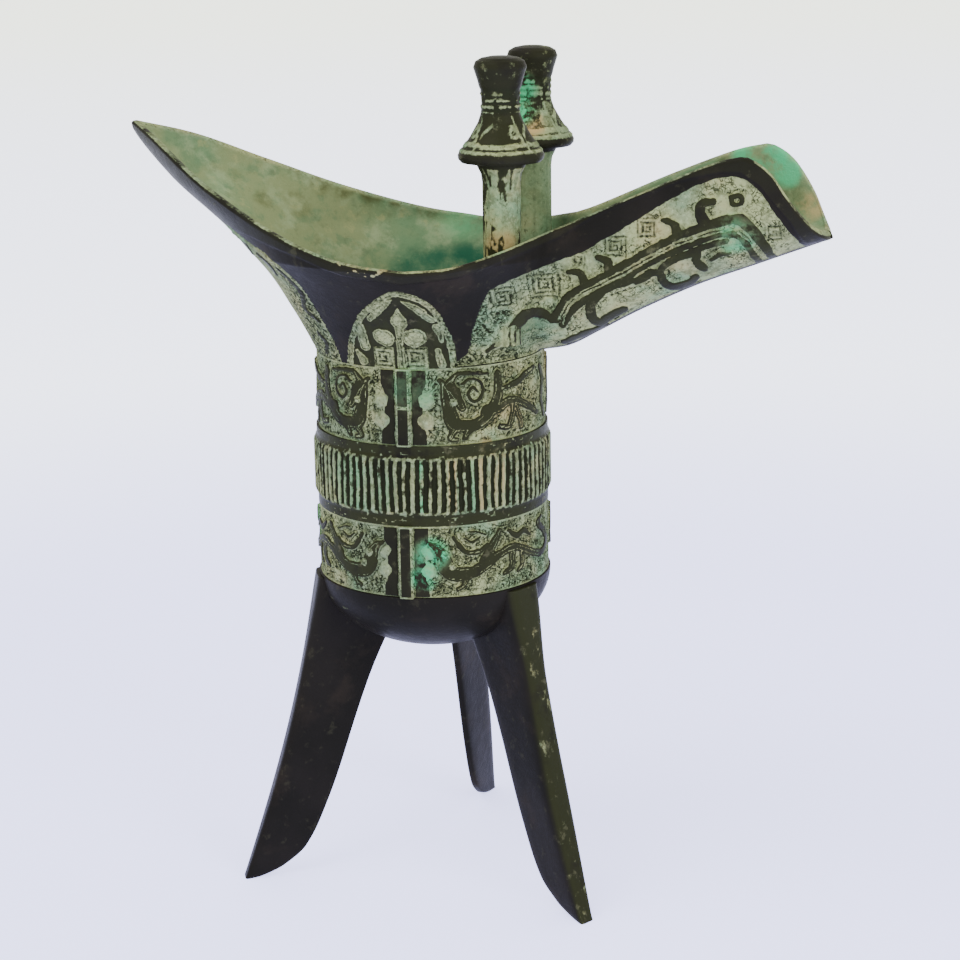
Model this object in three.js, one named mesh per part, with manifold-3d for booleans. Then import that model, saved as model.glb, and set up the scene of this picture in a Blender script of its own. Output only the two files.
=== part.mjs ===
// A ritual wine cup of cast bronze: a round hollow body on three blade legs, with a pouring spout, a long
// pointed tail opposite it, two capped posts beside the spout and a strap handle. Millimetres, +Z up.
// It is cast in one piece, so it is one solid. X runs towards the spout, and +Y towards the handle.
import * as THREE from "three";
import { mergeVertices } from "three/addons/utils/BufferGeometryUtils.js";
import Module from "manifold-3d";

const wasm = await Module();
wasm.setup();

// Heights, from the floor up
const legLength = 84.5; // floor to the bottom edge of the lower register
const bellyDrop = 20; // how far the round bottom hangs below that edge
const lowerRegister = 18.8;
const grooveHeight = 2.8;
const ribBand = 15;
const upperRegister = 19.7;
const neckHeight = 26.7; // from the upper register to the lowest place on the rim
const tailRise = 30.6; // tail tip above the lowest place on the rim
const spoutRise = 25; // spout's top corners above the lowest place on the rim
const lipRise = 4.2; // spout's pouring lip above the lowest place on the rim

// Radii, widths and reaches from the body's axis
const bodyRadius = 30.6;
const neckStep = 0.6; // how much narrower than the body the upper register and the foot of the neck are
const neckRadius = bodyRadius - neckStep;
const wall = 2.4;
const grooveDepth = 0.7;
const rimHalfWidth = 46.5;
const bowlFront = 37.5; // how far the bowl's rim would reach forwards without the spout
const tailReach = 79.5;
const spoutReach = 102.8;
const spoutCorner = 84; // where the end cut leaves the spout's top edge
const spoutSkew = 1.2; // the far side of the end cut lies this far ahead of the middle
const spoutHalfWidth = 15.3;
const spoutFillet = 16; // blend between bowl and spout, seen from above
const frontEase = 0.93; // share of the bowl's front reach from which it runs out softly into the spout

// Relief on the body
const ribCount = 88;
const ribDepth = 0.8;
const reliefRise = 0.8;
const reliefSink = 0.5; // how far a raised stroke is rooted in the wall
const flangeTurn = 2; // degrees by which the flanges sit off the body's front
const flangeRise = 1.2;
const flangeWidth = 3.6;
const borderWidth = 2.9; // the smooth strip on each side of a flange

// Legs: the way each points at the floor, in degrees from the spout, the radius where its outer edge stands,
// and the way its root points
const legPlaces = [[90, 52.7, 90], [205, 53.9, 204], [327.5, 56.3, 333]];
const legFaceTop = 7; // half-width of the outer face at the top
const legFace = 4.3; // half-width of the outer face along the blade
const footFace = 2.4; // half-width of the outer face at the floor
const legBow = 2.2; // how far the outer face sags inwards between body and floor
const legRoot = 0.8; // how far the leg's outer face stands proud of the body at its top
const legShoulder = 0.3; // share of the leg, from its top, over which it narrows to the blade
const legTaper = 0.6; // share of the leg, from its top, where the blade starts to narrow to the foot
const legBack = 0.9; // half-width of the inner edge

// Posts
const postAhead = 23.7;
const postAside = 17;
const postRadius = 4.7;
const postTop = 48.5; // cap's top above the lowest place on the rim
const postRoot = 22; // foot of the post below the lowest place on the rim
const skirtRadius = 10.9;
const skirtDrop = 24.4; // from the cap's top down to the skirt's rim
const capRadius = 6.5;

// Handle
const handleWidth = 9;
const handleThickness = 5;
const fingerGap = 14; // clear space between body and strap
const handleBelow = 6; // from the lower register's bottom edge up to the strap's lower root

// Heights that follow
const bandBottom = legLength;
const lowerTop = bandBottom + lowerRegister;
const ribBottom = lowerTop + grooveHeight;
const ribTop = ribBottom + ribBand;
const upperBottom = ribTop + grooveHeight;
const neckZ = upperBottom + upperRegister;
const rimLow = neckZ + neckHeight;
const tailTop = rimLow + tailRise;
const spoutTop = rimLow + spoutRise;
const lipZ = rimLow + lipRise;

const clamp = (value, low = 0, high = 1) => Math.min(high, Math.max(low, value));
const smoothStep = (value) => clamp(value) ** 2 * (3 - 2 * clamp(value));
const mix = (from, to, share) => from + (to - from) * share;

// A smooth curve through [place, height] pairs, read at any place.
function curveThrough(points) {
  const slopes = points.map((point, i) => {
    const before = points[Math.max(0, i - 1)];
    const after = points[Math.min(points.length - 1, i + 1)];
    return (after[1] - before[1]) / (after[0] - before[0]);
  });
  return (place) => {
    const last = points.length - 2;
    let i = 0;
    while (i < last && place > points[i + 1][0]) i += 1;
    const [x0, y0] = points[i];
    const [x1, y1] = points[i + 1];
    const span = x1 - x0;
    const t = clamp((place - x0) / span);
    const rise = 3 * t * t - 2 * t * t * t;
    const start = t * (1 - t) ** 2 * slopes[i] * span;
    const end = t * t * (t - 1) * slopes[i + 1] * span;
    return y0 + (y1 - y0) * rise + start + end;
  };
}

// The rim seen from the side, as shares: tail side, spout side, and the cut across the spout's end
const tailRim = curveThrough([[0, 0], [0.22, 0.09], [0.45, 0.3], [0.68, 0.59], [0.86, 0.85], [1, 1]]);
const spoutRim = curveThrough([[0, 0], [0.15, 0.03], [0.4, 0.28], [0.7, 0.68], [0.9, 0.93], [1, 1]]);
const spoutCut = curveThrough([[0, 0], [0.18, 0.08], [0.35, 0.21], [0.52, 0.43], [0.68, 0.64], [0.83, 0.85], [1, 1]]);
const rimDip = 6; // the lowest place on the rim lies this far ahead of the axis
const skewStart = 60; // the spout's end is cut askew from here on

function rimHeight(x, side) {
  const skew = side * spoutSkew * clamp((x - skewStart) / (spoutCorner - skewStart));
  const ahead = x - skew;
  if (x < rimDip) return rimLow + tailRise * tailRim((rimDip - x) / (rimDip + tailReach));
  if (ahead < spoutCorner) return rimLow + spoutRise * spoutRim((ahead - rimDip) / (spoutCorner - rimDip));
  return mix(spoutTop, lipZ, spoutCut(clamp((ahead - spoutCorner) / (spoutReach - spoutCorner))));
}

// Undersides: how far the tail reaches at a height, and how high the spout's keel is at a place
const tailKeelTop = 2.5; // the tail ends in a blunt edge this high
const tailKeelLine = curveThrough([[0, 0], [0.2, 0.12], [0.4, 0.26], [0.6, 0.49], [0.8, 0.8], [1, 1], [1.3, 1.1]]);
const spoutKeelLine = curveThrough([[0, 0], [0.1, 0.05], [0.2, 0.175], [0.35, 0.37], [0.55, 0.595], [0.75, 0.775], [1, 1]]);
const lipRound = 0.6; // the keel's end lies this far below the lip

function tailReachAt(z) {
  const share = Math.max(0, (z - neckZ) / (tailTop - tailKeelTop - neckZ));
  return neckRadius + (tailReach - neckRadius) * tailKeelLine(share);
}

function tailKeel(x, inset) {
  let low = neckZ;
  let high = tailTop + 20;
  for (let step = 0; step < 40; step += 1) {
    const middle = (low + high) / 2;
    if (insetTailReach(middle, inset) < -x) low = middle;
    else high = middle;
  }
  return high;
}

const insetTailReach = (z, inset) => tailReachAt(z) - inset * (1 + 0.3 * clamp((z - neckZ) / neckHeight));

function spoutKeel(x, inset) {
  const share = (x - neckRadius) / (spoutReach - neckRadius);
  const rootSlope = 0.45;
  const level = share < 0 ? rootSlope * (x - neckRadius) : (lipZ - lipRound - neckZ) * spoutKeelLine(share);
  const lift = rootSlope + 0.65 * smoothStep((x - neckRadius + inset) / 10);
  return neckZ + level + inset * lift;
}

// Past the eased front, the bowl's half-width falls off gently instead of closing at once.
function frontRunOut(x, side, front) {
  const start = frontEase * front;
  if (x < start) return 0;
  const width = side * Math.sqrt(1 - frontEase ** 2);
  const slope = (side * frontEase) / (front * Math.sqrt(1 - frontEase ** 2));
  return width * Math.exp((-(x - start) * slope) / width);
}

// Half the width of the vessel above its neck, at a place along it and a height, as for a ship's hull.
function halfBreadth(x, z, inset) {
  const up = clamp((z - neckZ) / neckHeight);
  const flare = up ** 1.5;
  const side = mix(neckRadius, rimHalfWidth, flare) - inset;
  const front = mix(neckRadius, bowlFront, flare) - inset;
  const high = (z - neckZ) / (tailTop - neckZ);
  const sharpness = 0.5 + 0.55 * clamp(high, 0, 1.1) ** 3.3;
  const reach = x > 0 ? front : insetTailReach(z, inset);
  const room = Math.max(0, 1 - (x / reach) ** 2);
  const rise = Math.max(0, z - spoutKeel(x, inset));
  const round = spoutHalfWidth - inset;
  const bowl = Math.max(side * room ** (x > 0 ? 0.5 : sharpness), frontRunOut(x, side, front) * smoothStep(rise / round));
  const spout = x < 0 ? 0 : rise < round ? Math.sqrt(2 * round * rise - rise * rise) : round;
  const blend = Math.min(spoutFillet, 2 * Math.min(bowl, spout)) * clamp(4 * up);
  const overlap = blend > 0 ? Math.max(0, blend - Math.abs(bowl - spout)) / blend : 0;
  return Math.max(bowl, spout) + (overlap * overlap * blend) / 4;
}

// A closed mesh as a solid, from triangles given by their corners; faces may be given inside out together.
function solidOf(triangles) {
  const corners = triangles.flat().flatMap((v) => [v.x, v.y, v.z]);
  const soup = new THREE.BufferGeometry();
  soup.setAttribute("position", new THREE.Float32BufferAttribute(corners, 3));
  const merged = mergeVertices(soup, 1e-4);
  const kept = [];
  const index = merged.index.array;
  for (let i = 0; i < index.length; i += 3) {
    const [a, b, c] = [index[i], index[i + 1], index[i + 2]];
    if (a !== b && b !== c && a !== c) kept.push(a, b, c);
  }
  const make = (order) =>
    new wasm.Manifold(
      new wasm.Mesh({
        numProp: 3,
        vertProperties: merged.attributes.position.array,
        triVerts: new Uint32Array(order),
      }),
    );
  const made = make(kept);
  if (made.volume() > 0) return made;
  return make(kept.reverse());
}

const quad = (a, b, c, d) => [[a, b, c], [a, c, d]];

// The cup's form, from its round bottom to above its rim: the outside, or with an inset and a height
// above the rim, the space inside it.
const bowlSteps = 20;
const spoutSteps = 10;
const tailSteps = 8;
const hullRows = 7;
const pastRim = 3; // the space inside keeps its flare this far above the rim

// Sections lie closer together at the root of the spout and at its end cut.
const spoutSpacing = curveThrough([[0, 0], [0.1, 0.05], [0.2, 0.13], [0.4, 0.34], [0.6, 0.63], [0.8, 0.85], [1, 1]]);

function stationsOf(inset, frontEnd, backEnd) {
  const radius = neckRadius - inset;
  const places = [];
  for (let i = spoutSteps; i > 0; i -= 1) places.push(mix(radius, frontEnd, spoutSpacing(i / spoutSteps)));
  for (let i = 0; i <= bowlSteps; i += 1) places.push(radius * Math.cos((Math.PI * i) / bowlSteps));
  for (let i = 1; i <= tailSteps; i += 1) places.push(mix(-radius, backEnd, i / tailSteps));
  return places;
}

function cupForm(inset, above, frontEnd, backEnd, profile) {
  const radius = neckRadius - inset;
  const places = stationsOf(inset, frontEnd, backEnd);
  const rowCount = above > 0 ? hullRows + 1 : hullRows;
  const column = (x, side) => {
    let low = neckZ;
    if (x > radius) low = spoutKeel(x, inset);
    if (x < -radius) low = tailKeel(x, inset);
    const high = Math.max(low, rimHeight(x, side)) + (above > 0 ? pastRim : 0);
    const points = [];
    for (let row = 0; row <= hullRows; row += 1) {
      const z = mix(low, high, (row / hullRows) ** 1.4);
      const onKeel = row === 0 && Math.abs(x) >= radius;
      points.push(new THREE.Vector3(x, onKeel ? 0 : side * halfBreadth(x, z, inset), z));
    }
    if (above > 0) {
      const top = points[hullRows].clone();
      top.z += above;
      points.push(top);
    }
    return points;
  };
  const near = places.map((x) => column(x, -1));
  const far = places.map((x) => column(x, 1));
  const triangles = [];
  const last = places.length - 1;
  for (let i = 0; i < last; i += 1) {
    for (let row = 0; row < rowCount; row += 1) {
      triangles.push(...quad(near[i][row], near[i + 1][row], near[i + 1][row + 1], near[i][row + 1]));
      triangles.push(...quad(far[i][row], far[i][row + 1], far[i + 1][row + 1], far[i + 1][row]));
    }
    const top = rowCount;
    triangles.push(...quad(near[i][top], near[i + 1][top], far[i + 1][top], far[i][top]));
  }
  for (let row = 0; row < rowCount; row += 1) {
    triangles.push(...quad(near[0][row], near[0][row + 1], far[0][row + 1], far[0][row]));
    triangles.push(...quad(far[last][row], far[last][row + 1], near[last][row + 1], near[last][row]));
  }
  const ring = (step, level, side) => {
    const angle = (Math.PI * step) / bowlSteps;
    const [r, z] = profile[level];
    const across = step === 0 || step === bowlSteps ? 0 : side * r * Math.sin(angle);
    return new THREE.Vector3(r * Math.cos(angle), across, z);
  };
  for (let step = 0; step < bowlSteps; step += 1) {
    for (let level = 0; level < profile.length - 1; level += 1) {
      const at = (s, l, side) => ring(step + s, level + l, side);
      triangles.push(...quad(at(0, 0, -1), at(1, 0, -1), at(1, 1, -1), at(0, 1, -1)));
      triangles.push(...quad(at(0, 0, 1), at(0, 1, 1), at(1, 1, 1), at(1, 0, 1)));
    }
  }
  return solidOf(triangles);
}

// Radius and height of the body from its lowest point up to the neck.
function bodyProfile(inset) {
  const floor = bandBottom - bellyDrop + inset * 1.2;
  const radius = bodyRadius - inset;
  const profile = [];
  const steps = 7;
  for (let i = 0; i < steps; i += 1) {
    const angle = (Math.PI / 2) * (i / steps);
    profile.push([radius * Math.sin(angle), bandBottom - (bandBottom - floor) * Math.cos(angle)]);
  }
  profile.push([radius, bandBottom]);
  if (inset > 0) return [...profile, [radius, ribTop], [neckRadius - inset, neckZ]];
  const inner = radius - grooveDepth;
  return [
    ...profile,
    [radius, lowerTop],
    [inner, lowerTop + 0.2],
    [inner, upperBottom - 0.2],
    [neckRadius, upperBottom],
    [neckRadius, neckZ],
  ];
}

// A solid between rings of points, closed at both ends.
function loft(rings) {
  const triangles = [];
  const centre = (ring) => ring.reduce((sum, v) => sum.clone().add(v)).divideScalar(ring.length);
  for (let i = 0; i + 1 < rings.length; i += 1) {
    rings[i].forEach((point, j) => {
      const next = (j + 1) % rings[i].length;
      triangles.push(...quad(point, rings[i][next], rings[i + 1][next], rings[i + 1][j]));
    });
  }
  const [first, last] = [rings[0], rings[rings.length - 1]];
  const [start, end] = [centre(first), centre(last)];
  first.forEach((point, j) => triangles.push([first[(j + 1) % first.length], point, start]));
  last.forEach((point, j) => triangles.push([point, last[(j + 1) % last.length], end]));
  return solidOf(triangles);
}

// A three.js geometry as a solid, moved to its place.
function fromGeometry(geometry, x = 0, y = 0, z = 0) {
  const flat = geometry.index ? geometry.toNonIndexed() : geometry;
  flat.translate(x, y, z);
  const place = flat.getAttribute("position");
  const triangles = [];
  for (let i = 0; i < place.count; i += 3) {
    triangles.push([0, 1, 2].map((k) => new THREE.Vector3().fromBufferAttribute(place, i + k)));
  }
  return solidOf(triangles);
}

// A turned piece about the upright axis through a point.
function turned(profile, sides, x, y) {
  const points = profile.map(([radius, z]) => new THREE.Vector2(radius, z));
  const geometry = new THREE.LatheGeometry(points, sides);
  geometry.rotateX(Math.PI / 2);
  return fromGeometry(geometry, x, y, 0);
}

// The surfaces that raised strokes lie on: each turns a place on it and a height off it into a point.
const onBody = (turn, flip, base, radius) => (along, up, off) => {
  const angle = THREE.MathUtils.degToRad(turn + flip * along);
  const [out, z] = [radius + off, base + up];
  return new THREE.Vector3(out * Math.cos(angle), out * Math.sin(angle), z);
};

const onHull = (side) => (x, z, off) => {
  const step = 0.4;
  const slopeX = (halfBreadth(x + step, z, 0) - halfBreadth(x - step, z, 0)) / (2 * step);
  const slopeZ = (halfBreadth(x, z + step, 0) - halfBreadth(x, z - step, 0)) / (2 * step);
  const out = new THREE.Vector3(-slopeX, side, -slopeZ).normalize();
  return new THREE.Vector3(x, side * halfBreadth(x, z, 0), z).addScaledVector(out, off);
};

// A raised stroke along a smooth line on a surface, with a width at its start, middle and end.
function stroke(surface, points, widths, steps, degreesPerMm = 1) {
  const line = new THREE.SplineCurve(points.map(([a, b]) => new THREE.Vector2(a / degreesPerMm, b)));
  const rings = [];
  for (let i = 0; i <= steps; i += 1) {
    const share = i / steps;
    const place = line.getPoint(share);
    const way = line.getTangent(share);
    const [w0, w1, w2] = widths;
    const half = (share < 0.5 ? mix(w0, w1, share * 2) : mix(w1, w2, share * 2 - 1)) / 2;
    const corner = (sign, off) => {
      const a = (place.x - sign * way.y * half) * degreesPerMm;
      return surface(a, place.y + sign * way.x * half, off);
    };
    rings.push([corner(-1, -reliefSink), corner(1, -reliefSink), corner(0, reliefRise)]);
  }
  return loft(rings);
}

// One blade leg in its own upright plane, four-sided: a narrow outer face and two sides to an inner edge.
// The blade's depth at heights above the floor: its tip is rounded like a knife's.
const legDepth = curveThrough([[0, 4.4], [0.8, 6.6], [2.5, 9.8], [7.5, 14.2], [20, 16.3], [45, 17.8], [60, 20], [84.5, 27]]);
const legHeights = [0, 0.8, 2.5, 7.5, 15, 26, 40, 55, 69, 84];

function legRing([footTurn, footRadius, rootTurn], z) {
  const share = 1 - z / legLength;
  const bow = legBow * Math.sin(Math.PI * share);
  const outer = mix(bodyRadius + legRoot, footRadius, share) - bow;
  const inner = outer - legDepth(z);
  const shoulder = mix(legFaceTop, legFace, smoothStep(share / legShoulder));
  const face = mix(shoulder, footFace, clamp((share - legTaper) / (1 - legTaper)) ** 1.5);
  const back = Math.min(legBack, face * 0.4);
  const corners = [[outer, -face], [outer, face], [inner, back], [inner, -back]];
  const turn = THREE.MathUtils.degToRad(mix(rootTurn, footTurn, share));
  const ahead = new THREE.Vector3(Math.cos(turn), Math.sin(turn), 0);
  const aside = new THREE.Vector3(-Math.sin(turn), Math.cos(turn), 0);
  return corners.map(([r, w]) =>
    new THREE.Vector3(0, 0, z).addScaledVector(ahead, r).addScaledVector(aside, w),
  );
}

const leg = (place) => loft(legHeights.map((z) => legRing(place, z)));

// A post: foot on the inside wall, shaft, flared skirt, waist and mushroom cap.
function post(side) {
  const top = rimLow + postTop;
  const foot = rimLow - postRoot;
  const waist = postRadius + 0.2;
  const skirt = top - skirtDrop;
  const profile = [
    [0, foot],
    [postRadius, foot],
    [postRadius, skirt - 6],
    [postRadius + 1.6, skirt - 1.2],
    [skirtRadius - 0.9, skirt - 1],
    [skirtRadius, skirt + 0.4],
    [skirtRadius - 0.3, skirt + 2.6],
    [waist + 2.6, skirt + 5.4],
    [waist + 0.4, skirt + 9],
    [waist - 0.3, skirt + 13],
    [waist, skirt + 16],
    [capRadius - 0.9, skirt + 18.6],
    [capRadius, skirt + 21.2],
    [capRadius - 0.5, skirt + 23],
    [capRadius - 2.4, top],
    [0, top],
  ];
  return turned(profile, 12, postAhead, side * postAside);
}

// The strap handle: a C from the upper register round to the lower one, with a small animal head on top.
function handle() {
  const outer = bodyRadius + fingerGap + handleThickness / 2;
  const top = neckZ - 7;
  const bottom = bandBottom + handleBelow;
  const corner = 9;
  const path = new THREE.CurvePath();
  const at = (y, z) => new THREE.Vector3(0, y, z);
  const root = bodyRadius - 1.2;
  path.add(new THREE.LineCurve3(at(root, top), at(outer - corner, top)));
  path.add(new THREE.QuadraticBezierCurve3(at(outer - corner, top), at(outer, top), at(outer, top - corner)));
  path.add(new THREE.LineCurve3(at(outer, top - corner), at(outer, bottom + corner)));
  path.add(new THREE.QuadraticBezierCurve3(at(outer, bottom + corner), at(outer, bottom), at(outer - corner, bottom)));
  path.add(new THREE.LineCurve3(at(outer - corner, bottom), at(root, bottom)));
  const rings = [];
  const steps = 15;
  for (let i = 0; i <= steps; i += 1) {
    const place = path.getPoint(i / steps);
    const way = path.getTangent(i / steps);
    const out = new THREE.Vector3(0, -way.z, way.y).negate();
    const [w, t] = [handleWidth / 2, handleThickness / 2];
    const section = [[-w, -t * 0.6], [-w, t * 0.4], [-w * 0.5, t], [w * 0.5, t], [w, t * 0.4], [w, -t * 0.6], [0, -t]];
    rings.push(section.map(([x, o]) => place.clone().addScaledVector(out, o).add(at(0, 0).setX(x))));
  }
  const ball = (x, y, z, rx, ry, rz) => {
    const geometry = new THREE.SphereGeometry(1, 9, 6);
    geometry.scale(rx, ry, rz);
    return fromGeometry(geometry, x, y, z);
  };
  const headY = outer - corner * 0.8;
  return loft(rings)
    .add(ball(0, headY, top + 1.5, 6.2, 7.2, 4.6))
    .add(ball(-3.8, headY - 3.5, top + 5.4, 2.2, 2.8, 2.6))
    .add(ball(3.8, headY - 3.5, top + 5.4, 2.2, 2.8, 2.6));
}

// Upright ribs round the middle band, as one toothed ring.
function ribRing() {
  const outline = new THREE.Shape();
  const inner = bodyRadius - grooveDepth - 0.4;
  const outer = bodyRadius - grooveDepth + ribDepth;
  const slotFloor = outer - ribDepth + 0.15;
  const border = 1.2;
  for (let i = 0; i < ribCount; i += 1) {
    const pitch = (2 * Math.PI) / ribCount;
    const tooth = [[slotFloor, 0], [outer, 0.4], [outer, 0.8]];
    tooth.forEach(([r, share], k) => {
      const angle = (i + share) * pitch;
      const step = i === 0 && k === 0 ? "moveTo" : "lineTo";
      outline[step](r * Math.cos(angle), r * Math.sin(angle));
    });
  }
  const hole = new THREE.Path();
  hole.absarc(0, 0, inner - 0.6, 0, 2 * Math.PI, true);
  outline.holes.push(hole);
  const depth = ribBand - 2 * border;
  const teeth = new THREE.ExtrudeGeometry(outline, { depth, bevelEnabled: false, curveSegments: 12 });
  const ring = fromGeometry(teeth, 0, 0, ribBottom + border);
  const rim = outer + 0.2;
  const low = inner - 0.3;
  const edge = (z) =>
    turned([[low, z], [rim, z], [rim, z + border + 0.1], [low, z + border + 0.1], [low, z]], 40, 0, 0);
  return ring.add(edge(ribBottom)).add(edge(ribTop - border - 0.1));
}

// A flange on the body between two heights, with a smooth raised strip on each side of it.
function flange(turn, base, height, radius) {
  const surface = onBody(turn, 1, base, radius);
  const perMm = 180 / (Math.PI * radius);
  const half = flangeWidth / 2;
  const ring = (up) => {
    const corner = (across, off) => surface(across * perMm, up, off);
    return [corner(-half, -1), corner(half, -1), corner(half * 0.7, flangeRise), corner(-half * 0.7, flangeRise)];
  };
  const core = loft([ring(0.3), ring(height - 0.3)]);
  const strip = (side) => {
    const across = side * (half + borderWidth / 2 + 0.2) * perMm;
    const points = [[across, 0.4], [across, height / 2], [across, height - 0.4]];
    return stroke(surface, points, [borderWidth, borderWidth, borderWidth], 2, perMm);
  };
  return core.add(strip(-1)).add(strip(1));
}

// The dragons of the two registers, in degrees from the flange and millimetres above the register's edge.
const upperDragon = [
  { line: [[20.3, 15.6], [21.6, 10.5], [25, 5.2], [36, 5], [44.5, 9], [47.8, 16.6]], width: [2.4, 3, 1.6], steps: 5 },
  { line: [[40, 7.6], [48.5, 8.6], [56, 9.4], [64, 8], [77, 4.6]], width: [2.8, 2.4, 1.4], steps: 3 },
  { line: [[18.5, 17.2], [26, 18], [41, 15.6]], width: [1.4, 2, 1.2], steps: 1 },
  { line: [[57.2, 9], [56, 4.6], [49, 3.2]], width: [1.6, 1.6, 1.2], steps: 2 },
];
const lowerDragon = [
  { line: [[12.6, 14.1], [17.6, 10], [22, 6.2], [36, 6.4], [46, 9.4], [57, 10.2]], width: [1.8, 3, 2.4], steps: 5 },
  { line: [[55, 10.2], [68, 7.6], [79.5, 7], [83, 10.5], [76.5, 14.4]], width: [2.4, 2, 1.4], steps: 4 },
  { line: [[24.2, 14.8], [28.7, 10.6], [35.2, 9.2], [43.9, 15.6]], width: [1.2, 2, 1.2], steps: 3 },
  { line: [[55, 9.6], [53.5, 6.2], [48, 4.8]], width: [1.6, 1.6, 1.2], steps: 1 },
];
const dragonEyes = [[24.3, 11.2], [22.4, 8.4]];
const eyeRadius = 1.1;
const plainStrokes = 2; // strokes of each dragon behind the handle, where the cup is plainer

function dragon(design, eye, turn, flip, base, radius) {
  const surface = onBody(turn, flip, base, radius);
  const perMm = 180 / (Math.PI * radius);
  const strokes = design
    .map(({ line, width, steps }) => stroke(surface, line, width, steps, perMm))
    .reduce((all, one) => all.add(one));
  const at = surface(eye[0], eye[1], 0.4);
  return strokes.add(fromGeometry(new THREE.OctahedronGeometry(eyeRadius), at.x, at.y, at.z));
}

// The raised lines on a side of the spout, ahead of the axis and above the neck: a long doubled dragon body
// that turns down at the end.
const spoutLines = [
  { line: [[36.4, 10.8], [40, 16.3], [47, 20.6], [66, 31.4], [80, 36.4], [84.6, 34], [88.6, 26.4]], width: 2.2, steps: 6 },
  { line: [[38, 9], [41, 13.2], [48.5, 19], [66, 28.6], [79.6, 33], [83, 31.2], [85.3, 25.4]], width: 1.7, steps: 5 },
  { line: [[50.4, 11.6], [46.2, 8.9], [45.4, 14.6], [52, 19.6], [60, 22.6]], width: 2, steps: 4 },
  { line: [[22.4, 4.6], [27.6, 9.8], [31.6, 12.5], [36.6, 11.4]], width: 2.3, steps: 3 },
  { line: [[74.6, 40.6], [72.6, 39], [73.6, 34.6]], width: 2.2, steps: 2 },
];

// The pointed leaf on the neck, as a raised arch over a stem with three round lobes.
const leafLines = [
  {
    line: [[-13.3, 0.2], [-12.4, 7.5], [-8.5, 14], [-2.1, 19.2], [3.4, 21.2], [9.6, 18.2], [13.2, 10.3], [13.9, 0.2]],
    width: 1.7,
    steps: 8,
  },
  { line: [[0.2, 0.4], [1, 6.5], [2.4, 12.5]], width: 1.6, steps: 1 },
];
const leafLobes = [[2.4, 14.4, 2.3], [-2.6, 8.9, 2.4], [4.7, 8.8, 2.6], [-7.4, 9, 1.9], [10.2, 10.6, 1.9]];

// The upper border of the blade-shaped panel along the tail's underside
const tailLines = [{ line: [[-17, 1], [-20.4, 9], [-23.4, 17], [-28.6, 24], [-38, 29.4], [-48, 33]], width: 1.8, steps: 5 }];

function hullStrokes(lines, side) {
  return lines
    .map(({ line, width, steps }) => {
      const moved = line.map(([x, up]) => [x, neckZ + up]);
      return stroke(onHull(side), moved, [width, width, width], steps);
    })
    .reduce((all, one) => all.add(one));
}

function hullLobes(lobes, side) {
  const surface = onHull(side);
  return lobes
    .map(([x, up, radius]) => {
      const geometry = new THREE.CylinderGeometry(radius * 0.7, radius, 1, 7).rotateX(Math.PI / 2);
      const at = surface(x, neckZ + up, 0);
      const out = surface(x, neckZ + up, 1).sub(at).normalize();
      const turn = new THREE.Quaternion().setFromUnitVectors(new THREE.Vector3(0, 0, 1), out);
      geometry.scale(1, 1, 2 * reliefRise);
      geometry.applyQuaternion(turn);
      return fromGeometry(geometry, at.x, at.y, at.z);
    })
    .reduce((all, one) => all.add(one));
}

// Everything joined as it is cast. The space inside runs on above the rim and past the spout's end, and stops
// short of the tail's tip.
const aboveRim = 14;
const pastSpout = 8;
const tailEnd = 3.1;

function castCup() {
  const space = cupForm(wall, aboveRim, spoutReach + pastSpout, tailEnd - tailReach, bodyProfile(wall));
  let cup = cupForm(0, 0, spoutReach, -tailReach, bodyProfile(0));
  cup = cup.add(ribRing());
  legPlaces.forEach((place) => {
    cup = cup.add(leg(place));
  });
  const quarters = [-90, 0, 180];
  quarters.forEach((quarter) => {
    cup = cup.add(flange(quarter + flangeTurn, bandBottom, lowerRegister, bodyRadius));
    cup = cup.add(flange(quarter + flangeTurn, upperBottom, upperRegister, neckRadius));
  });
  const faces = [[-90, 1], [-90, -1], [90, 1], [90, -1]];
  faces.forEach(([turn, flip]) => {
    const strokes = turn > 0 ? plainStrokes : lowerDragon.length;
    const [lower, upper] = [lowerDragon.slice(0, strokes), upperDragon.slice(0, strokes)];
    cup = cup.add(dragon(lower, dragonEyes[1], turn, flip, bandBottom, bodyRadius));
    cup = cup.add(dragon(upper, dragonEyes[0], turn, flip, upperBottom, neckRadius));
  });
  [-1, 1].forEach((side) => {
    cup = cup.add(hullStrokes([...spoutLines, ...leafLines, ...tailLines], side));
    cup = cup.add(hullLobes(leafLobes, side));
  });
  cup = cup.add(handle());
  cup = cup.subtract(space);
  [-1, 1].forEach((side) => {
    cup = cup.add(post(side));
  });
  return cup;
}

// The solid as a mesh whose box stands centred on the origin
function asGeometry(solid) {
  const mesh = solid.getMesh();
  const geometry = new THREE.BufferGeometry();
  geometry.setAttribute("position", new THREE.BufferAttribute(new Float32Array(mesh.vertProperties), 3));
  geometry.setIndex(new THREE.BufferAttribute(new Uint32Array(mesh.triVerts), 1));
  geometry.computeVertexNormals();
  return geometry;
}

const bronze = new THREE.MeshStandardMaterial({ color: 0x3c4a3c, roughness: 0.55, metalness: 0.6 });
const cup = new THREE.Mesh(asGeometry(castCup()), bronze);
cup.name = "wine_cup";
cup.geometry.computeBoundingBox();
const box = cup.geometry.boundingBox;
cup.position.set(-(box.min.x + box.max.x) / 2, -(box.min.y + box.max.y) / 2, -box.min.z);

const group = new THREE.Group();
group.add(cup);
export default group;
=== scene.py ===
# %% [markdown]
# # A cast bronze wine cup
# The cup stands on three blade legs and was cast in one pour: a round body with two bands of low relief and a
# ribbed band between them, a flared neck with a trough spout and a pointed tail, two capped posts and a strap
# handle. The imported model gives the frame, and every piece here is a finer surface over the same form.

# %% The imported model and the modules
import math

import bmesh
import bpy
import numpy as np
from mathutils import Matrix, Vector


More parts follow.
